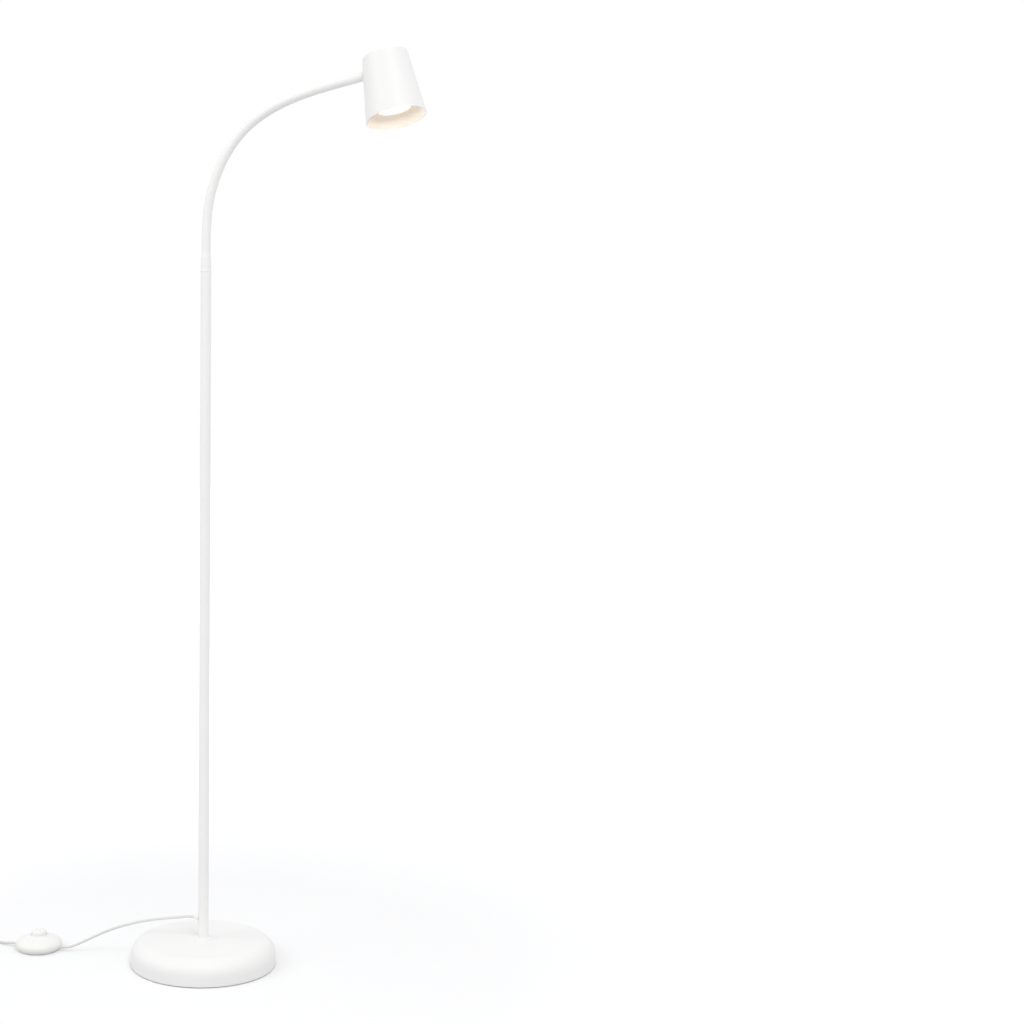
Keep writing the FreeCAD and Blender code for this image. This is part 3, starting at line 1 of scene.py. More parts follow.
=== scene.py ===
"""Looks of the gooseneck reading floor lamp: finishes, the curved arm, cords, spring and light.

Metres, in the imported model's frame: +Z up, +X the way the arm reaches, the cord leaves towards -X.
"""

import json
import math

import bpy
from mathutils import Matrix, Vector


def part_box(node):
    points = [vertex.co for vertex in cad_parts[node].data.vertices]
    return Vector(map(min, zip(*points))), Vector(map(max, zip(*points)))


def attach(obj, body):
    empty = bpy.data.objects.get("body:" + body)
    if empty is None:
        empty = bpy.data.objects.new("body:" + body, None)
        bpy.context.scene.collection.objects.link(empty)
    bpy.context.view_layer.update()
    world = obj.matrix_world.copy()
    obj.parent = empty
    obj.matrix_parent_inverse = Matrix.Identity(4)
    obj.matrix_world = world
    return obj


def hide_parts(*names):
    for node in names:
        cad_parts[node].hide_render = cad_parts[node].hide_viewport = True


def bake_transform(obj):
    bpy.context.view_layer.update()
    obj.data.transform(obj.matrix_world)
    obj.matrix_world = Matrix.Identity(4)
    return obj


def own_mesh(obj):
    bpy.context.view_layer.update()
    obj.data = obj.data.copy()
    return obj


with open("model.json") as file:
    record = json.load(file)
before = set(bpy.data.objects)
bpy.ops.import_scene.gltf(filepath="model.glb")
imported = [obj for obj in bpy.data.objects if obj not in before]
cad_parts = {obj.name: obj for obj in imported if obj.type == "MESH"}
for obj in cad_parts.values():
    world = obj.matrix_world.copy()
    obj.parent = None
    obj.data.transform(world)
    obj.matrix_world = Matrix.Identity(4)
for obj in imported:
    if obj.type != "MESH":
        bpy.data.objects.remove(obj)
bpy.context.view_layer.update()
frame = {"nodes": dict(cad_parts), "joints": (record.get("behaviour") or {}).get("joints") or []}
MM = 0.001
TURN = 2 * math.pi
JOINTS = {joint["name"]: joint for joint in frame["joints"]}
BULB_AXIS = Vector(JOINTS["bulb_twist"]["axis"])
BULB_AXIS_POINT = Vector(JOINTS["bulb_twist"]["pos_m"])


# ---------------------------------------------------------------- camera
CAMERA_PLACE = Vector((0.6369, -2.1788, 0.7929))
CAMERA_YAW = math.radians(13.44)
CAMERA_PITCH = math.radians(4.83)
CAMERA_ROLL = math.radians(0.47)
CAMERA_FOCAL_PIXELS = 1493.98
PICTURE_PIXELS = 1024
AIM_PIXEL = (279.0, 578.49)         # where the lens axis meets the photograph
SENSOR_MM = 36.0


def make_camera():
    right = Vector((math.cos(CAMERA_YAW), math.sin(CAMERA_YAW), 0))
    forward = Vector((-math.sin(CAMERA_YAW) * math.cos(CAMERA_PITCH),
                      math.cos(CAMERA_YAW) * math.cos(CAMERA_PITCH), -math.sin(CAMERA_PITCH)))
    up = right.cross(forward)
    rolled_right = right * math.cos(CAMERA_ROLL) + up * math.sin(CAMERA_ROLL)
    rolled_up = up * math.cos(CAMERA_ROLL) - right * math.sin(CAMERA_ROLL)
    data = bpy.data.cameras.new("camera")
    data.sensor_width = SENSOR_MM
    data.lens = SENSOR_MM * CAMERA_FOCAL_PIXELS / PICTURE_PIXELS
    data.shift_x = 0.5 - AIM_PIXEL[0] / PICTURE_PIXELS
    data.shift_y = AIM_PIXEL[1] / PICTURE_PIXELS - 0.5
    camera = add_object("camera", data)
    turn = Matrix((rolled_right, rolled_up, -forward)).transposed().to_4x4()
    camera.matrix_world = Matrix.Translation(CAMERA_PLACE) @ turn
    bpy.context.scene.camera = camera


# ---------------------------------------------------------------- node helpers
NOISE_LOW = 0.3                     # a noise's values lie mostly between these two
NOISE_HIGH = 0.7
DRIFT_DARK = 0.985                  # a finish's slight drift, as shares of its colour
DRIFT_LIGHT = 1.01


def shade_of(color, share):
    return tuple(min(1.0, channel * share) for channel in color)


class Nodes:
    """Short calls that add nodes to one material's tree and link them."""

    def __init__(self, name):
        self.material = bpy.data.materials.new(name)
        self.material.use_nodes = True
        self.tree = self.material.node_tree
        self.shader = self.tree.nodes["Principled BSDF"]

    def add(self, kind, **values):
        node = self.tree.nodes.new(kind)
        for key, value in values.items():
            setattr(node, key, value)
        return node

    def link(self, source, target):
        self.tree.links.new(source, target)

    def place(self):
        """Object coordinates, which are metres in the model's frame."""
        return self.add("ShaderNodeTexCoord").outputs["Object"]

    def noise(self, place, scale, detail=3.0, roughness=0.5):
        node = self.add("ShaderNodeTexNoise")
        node.inputs["Scale"].default_value = scale
        node.inputs["Detail"].default_value = detail
        node.inputs["Roughness"].default_value = roughness
        self.link(place, node.inputs["Vector"])
        return node.outputs["Fac"]

    def cells(self, place, scale):
        node = self.add("ShaderNodeTexVoronoi")
        node.inputs["Scale"].default_value = scale
        self.link(place, node.inputs["Vector"])
        return node.outputs["Distance"]

    def vector_step(self, operation, vector, constant):
        node = self.add("ShaderNodeVectorMath", operation=operation)
        self.link(vector, node.inputs[0])
        node.inputs[1].default_value = constant
        return node.outputs["Vector"]

    def length(self, vector):
        node = self.add("ShaderNodeVectorMath", operation="LENGTH")
        self.link(vector, node.inputs[0])
        return node.outputs["Value"]

    def from_axis(self, place):
        """Distance from the shade's and the bulb's common axis."""
        offset = self.vector_step("SUBTRACT", place, BULB_AXIS_POINT)
        return self.length(self.vector_step("CROSS_PRODUCT", offset, BULB_AXIS))

    def product(self, first, second):
        node = self.add("ShaderNodeMath", operation="MULTIPLY")
        self.link(first, node.inputs[0])
        self.link(second, node.inputs[1])
        return node.outputs["Value"]

    def spread(self, value, low, high, from_low=NOISE_LOW, from_high=NOISE_HIGH):
        """Maps a value's range onto another, and holds it at both ends."""
        node = self.add("ShaderNodeMapRange")
        node.inputs["From Min"].default_value = from_low
        node.inputs["From Max"].default_value = from_high
        node.inputs["To Min"].default_value = low
        node.inputs["To Max"].default_value = high
        self.link(value, node.inputs["Value"])
        return node.outputs["Result"]

    def tones(self, value, dark, light):
        node = self.add("ShaderNodeValToRGB")
        ends = ((NOISE_LOW, dark), (NOISE_HIGH, light))
        for element, (position, color) in zip(node.color_ramp.elements, ends):
            element.position = position
            element.color = (*color, 1)
        self.link(value, node.inputs["Fac"])
        return node.outputs["Color"]

    def drift(self, value, color, dark=DRIFT_DARK, light=DRIFT_LIGHT):
        """Tones around one colour, from a share of it to another."""
        return self.tones(value, shade_of(color, dark), shade_of(color, light))

    def bump(self, height, strength, distance, before=None):
        node = self.add("ShaderNodeBump")
        node.inputs["Strength"].default_value = strength
        node.inputs["Distance"].default_value = distance
        self.link(height, node.inputs["Height"])
        if before is not None:
            self.link(before, node.inputs["Normal"])
        return node.outputs["Normal"]

    def set(self, name, value):
        self.shader.inputs[name].default_value = value

    def feed(self, name, source):
        self.link(source, self.shader.inputs[name])


# ---------------------------------------------------------------- finishes
WHITE_PAINT = (0.930, 0.925, 0.912)
WHITE_VINYL = (0.925, 0.920, 0.905)
WHITE_PLASTIC = (0.928, 0.922, 0.906)
CORD_WHITE = (0.770, 0.765, 0.748)
ZINC = (0.62, 0.62, 0.60)
HOSE_STEEL = (0.48, 0.48, 0.47)
SPRING_STEEL = (0.55, 0.55, 0.54)
BRASS = (0.76, 0.60, 0.30)
NICKEL = (0.80, 0.79, 0.76)
IRON_DARK = (0.10, 0.095, 0.09)
IRON_LIGHT = (0.20, 0.19, 0.18)
PAD_RUBBER = (0.22, 0.22, 0.21)
FOOT_RUBBER = (0.32, 0.32, 0.31)
GRIP_NYLON = (0.75, 0.74, 0.70)
TIE_VINYL = (0.84, 0.83, 0.80)
PORCELAIN_DARK = (0.86, 0.84, 0.79)
PORCELAIN_LIGHT = (0.91, 0.89, 0.85)
MIRROR_DARK = (0.52, 0.51, 0.49)
MIRROR_LIGHT = (0.62, 0.61, 0.58)
REFLECTOR_LEAK = (1.0, 0.73, 0.50)
REFLECTOR_LEAK_STRENGTH = 0.9
LENS_GLASS = (0.95, 0.93, 0.88)
LENS_WARM = (1.0, 0.82, 0.58)
LENS_PALE = (1.0, 0.92, 0.79)
LENS_HOT_RADIUS = 9.0 * MM          # the lens is at its brightest inside this
LENS_COOL_RADIUS = 20.5 * MM        # and at its edge's strength outside this
LENS_CENTRE_STRENGTH = 12.0
LENS_EDGE_STRENGTH = 0.92


def powder_coat():
    """Satin white powder coat: fine orange peel, a very slight drift of tone and of gloss."""
    look = Nodes("powder_coat")
    place = look.place()
    look.feed("Base Color", look.drift(look.noise(place, scale=9.0, detail=2.0), WHITE_PAINT))
    look.feed("Roughness", look.spread(look.noise(place, scale=60.0, detail=4.0), low=0.40, high=0.50))
    peel = look.bump(look.noise(place, scale=900.0, detail=2.0), strength=0.10, distance=0.0002)
    grain = look.cells(place, scale=3200.0)
    look.feed("Normal", look.bump(grain, strength=0.05, distance=0.00008, before=peel))
    look.set("Specular IOR Level", 0.45)
    return look.material


def sleeve_vinyl():
    """Soft satin sleeve drawn over the hose: faint matt grain, a little wavy."""
    look = Nodes("sleeve_vinyl")
    place = look.place()
    look.feed("Base Color", look.drift(look.noise(place, scale=14.0, detail=2.0), WHITE_VINYL))
    look.feed("Roughness", look.spread(look.noise(place, scale=90.0, detail=4.0), low=0.44, high=0.55))
    waves = look.bump(look.noise(place, scale=45.0, detail=1.0), strength=0.12, distance=0.0006)
    grain = look.noise(place, scale=2400.0, detail=3.0)
    look.feed("Normal", look.bump(grain, strength=0.10, distance=0.00008, before=waves))
    return look.material


def moulded_plastic(name, color, roughness, grain):
    """Injection-moulded plastic with a spark-eroded grain."""
    look = Nodes(name)
    place = look.place()
    look.feed("Base Color", look.drift(look.noise(place, scale=20.0, detail=2.0), color))
    look.feed("Roughness", look.spread(look.noise(place, scale=150.0, detail=3.0), *roughness))
    texture = look.noise(place, scale=2600.0, detail=4.0, roughness=0.6)
    look.feed("Normal", look.bump(texture, strength=grain, distance=0.0001))
    return look.material


def bare_metal(name, color, roughness, grain=0.15):
    """Plated or bare metal: fine spangle, uneven tone and gloss."""
    look = Nodes(name)
    place = look.place()
    tone = look.noise(place, scale=260.0, detail=4.0)
    look.feed("Base Color", look.drift(tone, color, dark=0.88, light=1.06))
    look.feed("Roughness", look.spread(look.noise(place, scale=500.0, detail=4.0), *roughness))
    look.feed("Normal", look.bump(look.cells(place, scale=700.0), strength=grain, distance=0.00006))
    look.set("Metallic", 1.0)
    return look.material


def cast_iron():
    """Rough dark casting."""
    look = Nodes("cast_iron")
    place = look.place()
    look.feed("Base Color", look.tones(look.noise(place, scale=120.0, detail=5.0), IRON_DARK, IRON_LIGHT))
    look.feed("Roughness", look.spread(look.noise(place, scale=300.0, detail=4.0), low=0.55, high=0.8))
    casting = look.noise(place, scale=420.0, detail=6.0, roughness=0.6)
    look.feed("Normal", look.bump(casting, strength=0.5, distance=0.0006))
    look.set("Metallic", 0.6)
    return look.material


def rubber(name, color, cell_scale):
    """Matt rubber with small dimples."""
    look = Nodes(name)
    place = look.place()
    tone = look.noise(place, scale=60.0, detail=4.0)
    look.feed("Base Color", look.drift(tone, color, dark=0.85, light=1.15))
    look.feed("Roughness", look.spread(look.noise(place, scale=200.0, detail=3.0), low=0.75, high=0.92))
    look.feed("Normal", look.bump(look.cells(place, scale=cell_scale), strength=0.4, distance=0.0005))
    return look.material


def porcelain():
    """Satin ceramic of the lamp holder, slightly uneven."""
    look = Nodes("porcelain")
    place = look.place()
    tone = look.noise(place, scale=80.0, detail=3.0)
    look.feed("Base Color", look.tones(tone, PORCELAIN_DARK, PORCELAIN_LIGHT))
    look.feed("Roughness", look.spread(look.noise(place, scale=220.0, detail=3.0), low=0.42, high=0.6))
    look.feed("Normal", look.bump(look.noise(place, scale=1100.0, detail=4.0), strength=0.2, distance=0.0002))
    return look.material


def silvered_glass():
    """Bulb's body: glass with a thin mirror inside that some warm light leaks through."""
    look = Nodes("silvered_glass")
    place = look.place()
    look.feed("Base Color", look.tones(look.noise(place, scale=150.0, detail=3.0), MIRROR_DARK, MIRROR_LIGHT))
    look.feed("Roughness", look.spread(look.noise(place, scale=260.0, detail=2.0), low=0.14, high=0.26))
    look.feed("Normal", look.bump(look.cells(place, scale=380.0), strength=0.12, distance=0.0003))
    look.set("Metallic", 0.75)
    look.set("Coat Weight", 0.6)
    look.set("Coat Roughness", 0.06)
    look.set("Emission Color", (*REFLECTOR_LEAK, 1))
    look.set("Emission Strength", REFLECTOR_LEAK_STRENGTH)
    return look.material


def lit_lens():
    """Bulb's face, lit: hot in the middle, dimmer to its edge, broken by fine prisms."""
    look = Nodes("lit_lens")
    place = look.place()
    prisms = look.cells(place, scale=420.0)
    middle_out = look.spread(look.from_axis(place), LENS_CENTRE_STRENGTH, LENS_EDGE_STRENGTH,
                             from_low=LENS_HOT_RADIUS, from_high=LENS_COOL_RADIUS)
    sparkle = look.spread(prisms, low=1.15, high=0.72, from_low=0.1, from_high=0.6)
    look.feed("Emission Color", look.tones(prisms, LENS_PALE, LENS_WARM))
    look.feed("Emission Strength", look.product(middle_out, sparkle))
    look.set("Base Color", (*LENS_GLASS, 1))
    look.feed("Roughness", look.spread(look.noise(place, scale=300.0, detail=2.0), low=0.12, high=0.25))
    look.feed("Normal", look.bump(prisms, strength=0.5, distance=0.0006))
    return look.material


# ---------------------------------------------------------------- shape helpers
SHARP_EDGE = math.radians(35.0)


def smooth(share):
    """Eases from 0 to 1 with level ends."""
    return share * share * (3 - 2 * share)


def add_object(name, data):
    piece = bpy.data.objects.new(name, data)
    bpy.context.scene.collection.objects.link(piece)
    return piece


def new_mesh(name, vertices, faces, material):
    mesh = bpy.data.meshes.new(name)
    mesh.from_pydata([tuple(vertex) for vertex in vertices], [], faces)
    mesh.validate()
    mesh.polygons.foreach_set("use_smooth", [True] * len(mesh.polygons))
    mesh.set_sharp_from_angle(angle=SHARP_EDGE)
    mesh.materials.append(material)
    return add_object(name, mesh)


def ring_faces(rings, sides, closed_loop):
    """Quads between neighbouring rings of a swept skin, and from the last ring to the first in a loop."""
    faces = []
    for ring in range(rings if closed_loop else rings - 1):
        near = ring * sides
        far = (ring + 1) % rings * sides
        for side in range(sides):
            after = (side + 1) % sides
            faces.append((near + side, near + after, far + after, far + side))
    return faces


def swept_shell(name, stations, sides, material):
    """Closed tube wall from (centre, across 1, across 2, radius) stations that run out and back."""
    vertices = []
    for centre, first, second, radius in stations:
        for side in range(sides):
            angle = TURN * side / sides
            vertices.append(centre + (first * math.cos(angle) + second * math.sin(angle)) * radius)
    return new_mesh(name, vertices, ring_faces(len(stations), sides, True), material)


# ---------------------------------------------------------------- arm
HINGE_COUNT = sum(name.startswith("arm_bend_") for name in JOINTS)
LINK_COUNT = HINGE_COUNT - 1
ARM_HINGES = [Vector(JOINTS["arm_bend_%d" % (k + 1)]["pos_m"]) for k in range(HINGE_COUNT)]
SLEEVE_RADIUS = 6.7 * MM
SLEEVE_BORE = 5.05 * MM
HOSE_RADIUS = 5.0 * MM
HOSE_BORE = 3.0 * MM
HOSE_PITCH = 2.0 * MM
HOSE_GROOVE = 0.35 * MM
HOSE_RIDGE_POWER = 4                # a higher power makes the strip's ridges squarer
CUFF_FOOT_RADIUS = 7.85 * MM
CUFF_SHOULDER_RADIUS = 7.6 * MM
CUFF_SHOULDER_HEIGHT = 16.0 * MM
CUFF_TAPER_END = 2.0 * MM
NECK_BORE = 6.45 * MM               # the cuff's bore round the ferrule's neck
NECK_TOP_BELOW_HINGE = 15.0 * MM
HOSE_PAST_LAST = 3.0 * MM
SLEEVE_STEP = 2.0 * MM              # between rings, also along the hose's plain bore
SLEEVE_SIDES = 56
HOSE_STEP = 0.5 * MM
HOSE_SIDES = 28


def hinge_tangents():
    """Angle of the arm's centreline from upright at each hinge, as each link is one arc."""
    angles = [0.0]
    for start, end in zip(ARM_HINGES, ARM_HINGES[1:]):
        chord = math.atan2(end.x - start.x, end.z - start.z)
        angles.append(2 * chord - angles[-1])
    return angles


ARM_ANGLES = hinge_tangents()


def link_length(index):
    half = (ARM_ANGLES[index + 1] - ARM_ANGLES[index]) / 2
    return (ARM_HINGES[index + 1] - ARM_HINGES[index]).length * half / math.sin(half)


LINK_LENGTH = link_length(0)        # all links are equally long


def arm_direction(angle):
    return Vector((math.sin(angle), 0, math.cos(angle)))


def arm_place(run):
    """Point and angle from upright of the centreline, at a distance along it from the first hinge."""
    if run <= 0:
        return ARM_HINGES[0] + Vector((0, 0, run)), 0.0
    if run >= LINK_COUNT * LINK_LENGTH:
        angle = ARM_ANGLES[-1]
        past = run - LINK_COUNT * LINK_LENGTH
        return ARM_HINGES[-1] + arm_direction(angle) * past, angle
    index = int(run / LINK_LENGTH)
    start = ARM_ANGLES[index]
    turn = ARM_ANGLES[index + 1] - start
    radius = LINK_LENGTH / turn
    angle = start + turn * (run / LINK_LENGTH - index)
    shift = Vector((math.cos(start) - math.cos(angle), 0, math.sin(angle) - math.sin(start)))
    return ARM_HINGES[index] + shift * radius, angle


def arm_station(run, radius):
    centre, angle = arm_place(run)
    across = Vector((math.cos(angle), 0, -math.sin(angle)))
    return centre, across, Vector((0, 1, 0)), radius


def cuff_height():
    return ARM_HINGES[0].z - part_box("arm_cuff")[0].z


def sleeve_outside(run):
    """Sleeve's radius: the cuff at its foot tapers smoothly into the even sleeve."""
    shoulder = -(cuff_height() - CUFF_SHOULDER_HEIGHT)
    if run >= -CUFF_TAPER_END:
        return SLEEVE_RADIUS
    if run >= shoulder:
        share = (run - shoulder) / (-CUFF_TAPER_END - shoulder)
        return CUFF_SHOULDER_RADIUS + (SLEEVE_RADIUS - CUFF_SHOULDER_RADIUS) * smooth(share)
    share = (run + cuff_height()) / (shoulder + cuff_height())
    return CUFF_FOOT_RADIUS + (CUFF_SHOULDER_RADIUS - CUFF_FOOT_RADIUS) * share


def sleeve_inside(run):
    return NECK_BORE if run < -NECK_TOP_BELOW_HINGE else SLEEVE_BORE


def sleeve_end_length():
    """How far the sleeve runs past the last hinge, to the ferrule's shoulder."""
    angle = ARM_ANGLES[-1]
    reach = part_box("sleeve_end")[1].x - ARM_HINGES[-1].x
    return (reach - SLEEVE_RADIUS * math.cos(angle)) / arm_direction(angle).x


def hose_outside(run):
    """Wound strip: a rounded ridge each pitch with a narrow groove between."""
    phase = (run / HOSE_PITCH) % 1.0
    ridge = math.sqrt(max(0.0, 1 - (2 * phase - 1) ** HOSE_RIDGE_POWER))
    return HOSE_RADIUS - HOSE_GROOVE * (1 - ridge)


def piece_span(index, foot, top):
    """Where one sleeve or hose piece starts and ends: halfway along the links at its hinge."""
    first = (index - 0.5) * LINK_LENGTH if index else -foot
    last = (index + 0.5) * LINK_LENGTH if index < LINK_COUNT else top
    return first, last


def runs_between(first, last, step):
    count = max(2, round((last - first) / step))
    return [first + (last - first) * k / count for k in range(count + 1)]


def bend_at(piece):
    """Bakes a piece's placing into its mesh."""
    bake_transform(piece)


def make_sleeve_piece(index, top, material):
    runs = runs_between(*piece_span(index, cuff_height(), top), SLEEVE_STEP)
    out = [arm_station(run, sleeve_outside(run)) for run in runs]
    back = [arm_station(run, sleeve_inside(run)) for run in reversed(runs)]
    sleeve = swept_shell("sleeve_%d" % (index + 1), out + back, SLEEVE_SIDES, material)
    bend_at(sleeve)
    stood_for = ["arm_cuff"] if index == 0 else []
    stood_for += ["sleeve_link_%d" % (index + 1)] if index < LINK_COUNT else ["sleeve_end"]
    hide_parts(*stood_for)


def make_hose_piece(index, foot, top, material):
    span = piece_span(index, foot, top)
    out = [arm_station(run, hose_outside(run)) for run in runs_between(*span, HOSE_STEP)]
    back = [arm_station(run, HOSE_BORE) for run in reversed(runs_between(*span, SLEEVE_STEP))]
    hose = swept_shell("hose_%d" % (index + 1), out + back, HOSE_SIDES, material)
    bend_at(hose)
    if index < LINK_COUNT:
        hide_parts("hose_link_%d" % (index + 1))
    if index == 0:
        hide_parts("hose_root")


def make_arm(sleeve_material, hose_material):
    last_hinge = LINK_COUNT * LINK_LENGTH
    hose_foot = ARM_HINGES[0].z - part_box("hose_root")[0].z
    for index in range(HINGE_COUNT):
        make_sleeve_piece(index, last_hinge + sleeve_end_length(), sleeve_material)
        make_hose_piece(index, hose_foot, last_hinge + HOSE_PAST_LAST, hose_material)


# ---------------------------------------------------------------- cords
# Routes of the mains cord in millimetres, as in the part's source.
BUSHING_TIP_X = -15.0
CORD_OUTLET_HEIGHT = 72.0
CORD_DIAMETER = 4.0
CORD_STRAIGHT_END = 12.0
SWITCH_CENTRE = (-272.0, -4.0)
SWITCH_CORD_REACH = 30.8
SWITCH_CORD_HEIGHT = 6.0
CORD_LEAD_ROUTE = [
    (-36.0, -0.6, 69.9), (-60.0, 0.2, 66.2), (-88.0, 0.8, 60.9), (-118.0, 2.4, 52.6),
    (-146.0, 3.5, 42.4), (-170.0, 3.5, 31.4), (-190.0, 2.2, 20.8), (-207.0, 0.2, 12.2),
    (-218.0, -2.2, 7.6),
]
CORD_SUPPLY_ROUTE = [
    (-327.0, -1.8, 4.4), (-338.0, 2.6, 2.6), (-349.5, 9.0, 2.2), (-360.0, 16.6, 2.3),
    (-371.5, 24.6, 2.6),
]
CORD_TAIL_ROUTE = [(20.0, 14.6), (32.0, 9.4)]
CORD_TAIL_LENGTH = 56.0
COIL_CENTRE = (-398.0, 0.0)
COIL_OUTER_RADIUS = 28.5
COIL_PITCH = 4.5
COIL_FIRST_HEIGHT = 2.9
COIL_START_ANGLE = 90.0
COIL_LAYER_QUARTERS = [9, 9, 9, 10]
COIL_CLIMB_QUARTERS = 2             # the cord climbs to its next layer over this many quarter turns
COIL_POINTS_PER_QUARTER = 5
COIL_STRAIGHT_END = 10.0
PLUG_LEVEL = 6.85
CORD_STEPS_PER_POINT = 6
CORD_ROUND_STEPS = 5


def coil_place(knot):
    """Point of the coil's centreline after a number of quarter turns, in and out layer by layer."""
    radius = COIL_OUTER_RADIUS
    height = COIL_FIRST_HEIGHT
    last = len(COIL_LAYER_QUARTERS) - 1
    start = 0
    for index, quarters in enumerate(COIL_LAYER_QUARTERS):
        outward = 1 if index % 2 else -1
        passed = knot - start
        if index > 0:
            passed = max(passed, 0)
        if index < last:
            passed = min(passed, quarters)
            climb = (knot - start - quarters) / COIL_CLIMB_QUARTERS + 0.5
            height += COIL_PITCH * smooth(min(max(climb, 0), 1))
        radius += outward * COIL_PITCH / 4 * passed
        start += quarters
    angle = math.radians(COIL_START_ANGLE + 90 * knot)
    return Vector((COIL_CENTRE[0] + radius * math.cos(angle),
                   COIL_CENTRE[1] + radius * math.sin(angle), height))


def coil_tangent(knot):
    step = 1e-3
    return (coil_place(knot + step) - coil_place(knot - step)).normalized()


def cord_curve(name, points, material):
    """Round cord whose NURBS line has the route's points as its control points."""
    curve = bpy.data.curves.new(name, "CURVE")
    curve.dimensions = "3D"
    spline = curve.splines.new("NURBS")
    spline.points.add(len(points) - 1)
    for point, place in zip(spline.points, points):
        point.co = (*(Vector(place) * MM), 1)
    spline.order_u = 3
    spline.use_endpoint_u = True
    spline.resolution_u = CORD_STEPS_PER_POINT
    curve.bevel_depth = CORD_DIAMETER / 2 * MM
    curve.bevel_resolution = CORD_ROUND_STEPS
    curve.use_fill_caps = True
    curve.materials.append(material)
    return add_object(name, curve)


def make_lead_cord(material):
    """Cord from the pole's bushing to the foot switch."""
    exit_point = Vector((BUSHING_TIP_X, 0, CORD_OUTLET_HEIGHT))
    straight = Vector((CORD_STRAIGHT_END, 0, 0))
    entry = Vector((SWITCH_CENTRE[0] + SWITCH_CORD_REACH, SWITCH_CENTRE[1], SWITCH_CORD_HEIGHT))
    route = [exit_point, exit_point - straight, *CORD_LEAD_ROUTE, entry + straight, entry]
    cord = cord_curve("mains_cord_lead", route, material)
    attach(cord, "stand")
    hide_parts("cord_lead")


def make_supply_cord(material):
    """Cord from the foot switch through the coil to the plug."""
    leaving = Vector((SWITCH_CENTRE[0] - SWITCH_CORD_REACH, SWITCH_CENTRE[1], SWITCH_CORD_HEIGHT))
    route = [leaving, leaving - Vector((CORD_STRAIGHT_END, 0, 0)), *CORD_SUPPLY_ROUTE]
    first = coil_place(0)
    inward = coil_tangent(0)
    route += [first - inward * (CORD_DIAMETER + COIL_STRAIGHT_END), first - inward * CORD_DIAMETER]
    knots = sum(COIL_LAYER_QUARTERS)
    route += [coil_place(k / COIL_POINTS_PER_QUARTER) for k in range(knots * COIL_POINTS_PER_QUARTER + 1)]
    end = coil_place(knots)
    tail_start = end + coil_tangent(knots) * COIL_STRAIGHT_END
    tail_end = Vector((tail_start.x, end.y - CORD_TAIL_LENGTH, PLUG_LEVEL))
    route.append(tail_start)
    route += [Vector((tail_start.x, end.y - step, height)) for step, height in CORD_TAIL_ROUTE]
    route += [tail_end + Vector((0, CORD_STRAIGHT_END, 0)), tail_end]
    cord = cord_curve("mains_cord_supply", route, material)
    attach(cord, "stand")
    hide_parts("cord_supply", "cord_coil")


# ---------------------------------------------------------------- foot switch's spring
SPRING_RADIUS = 5.2
SPRING_WIRE_RADIUS = 0.5
SPRING_TURNS = 4.5
SPRING_STEPS_PER_TURN = 20
SPRING_SIDES = 8


def make_spring(material):
    """Button's return spring, worked out in millimetres."""
    low, high = (corner.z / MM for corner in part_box("button_spring"))
    rise = (high - low - 2 * SPRING_WIRE_RADIUS) / SPRING_TURNS
    steps = round(SPRING_TURNS * SPRING_STEPS_PER_TURN)
    upward = Vector((0, 0, 1))
    vertices = []
    for k in range(steps + 1):
        angle = TURN * k / SPRING_STEPS_PER_TURN
        outward = Vector((math.cos(angle), math.sin(angle), 0))
        height = low + SPRING_WIRE_RADIUS + rise * k / SPRING_STEPS_PER_TURN
        centre = Vector((*SWITCH_CENTRE, height)) + outward * SPRING_RADIUS
        for side in range(SPRING_SIDES):
            turn = TURN * side / SPRING_SIDES
            offset = (outward * math.cos(turn) + upward * math.sin(turn)) * SPRING_WIRE_RADIUS
            vertices.append((centre + offset) * MM)
    faces = ring_faces(steps + 1, SPRING_SIDES, False)
    faces.append(tuple(range(SPRING_SIDES)))
    faces.append(tuple(steps * SPRING_SIDES + side for side in reversed(range(SPRING_SIDES))))
    spring = new_mesh("return_spring", vertices, faces, material)
    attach(spring, "stand")
    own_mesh(spring)
    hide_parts("button_spring")


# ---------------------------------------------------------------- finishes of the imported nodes
def dress(node, material):
    piece = frame["nodes"][node]
    for slot in piece.material_slots:
        slot.link = "OBJECT"
        slot.material = material


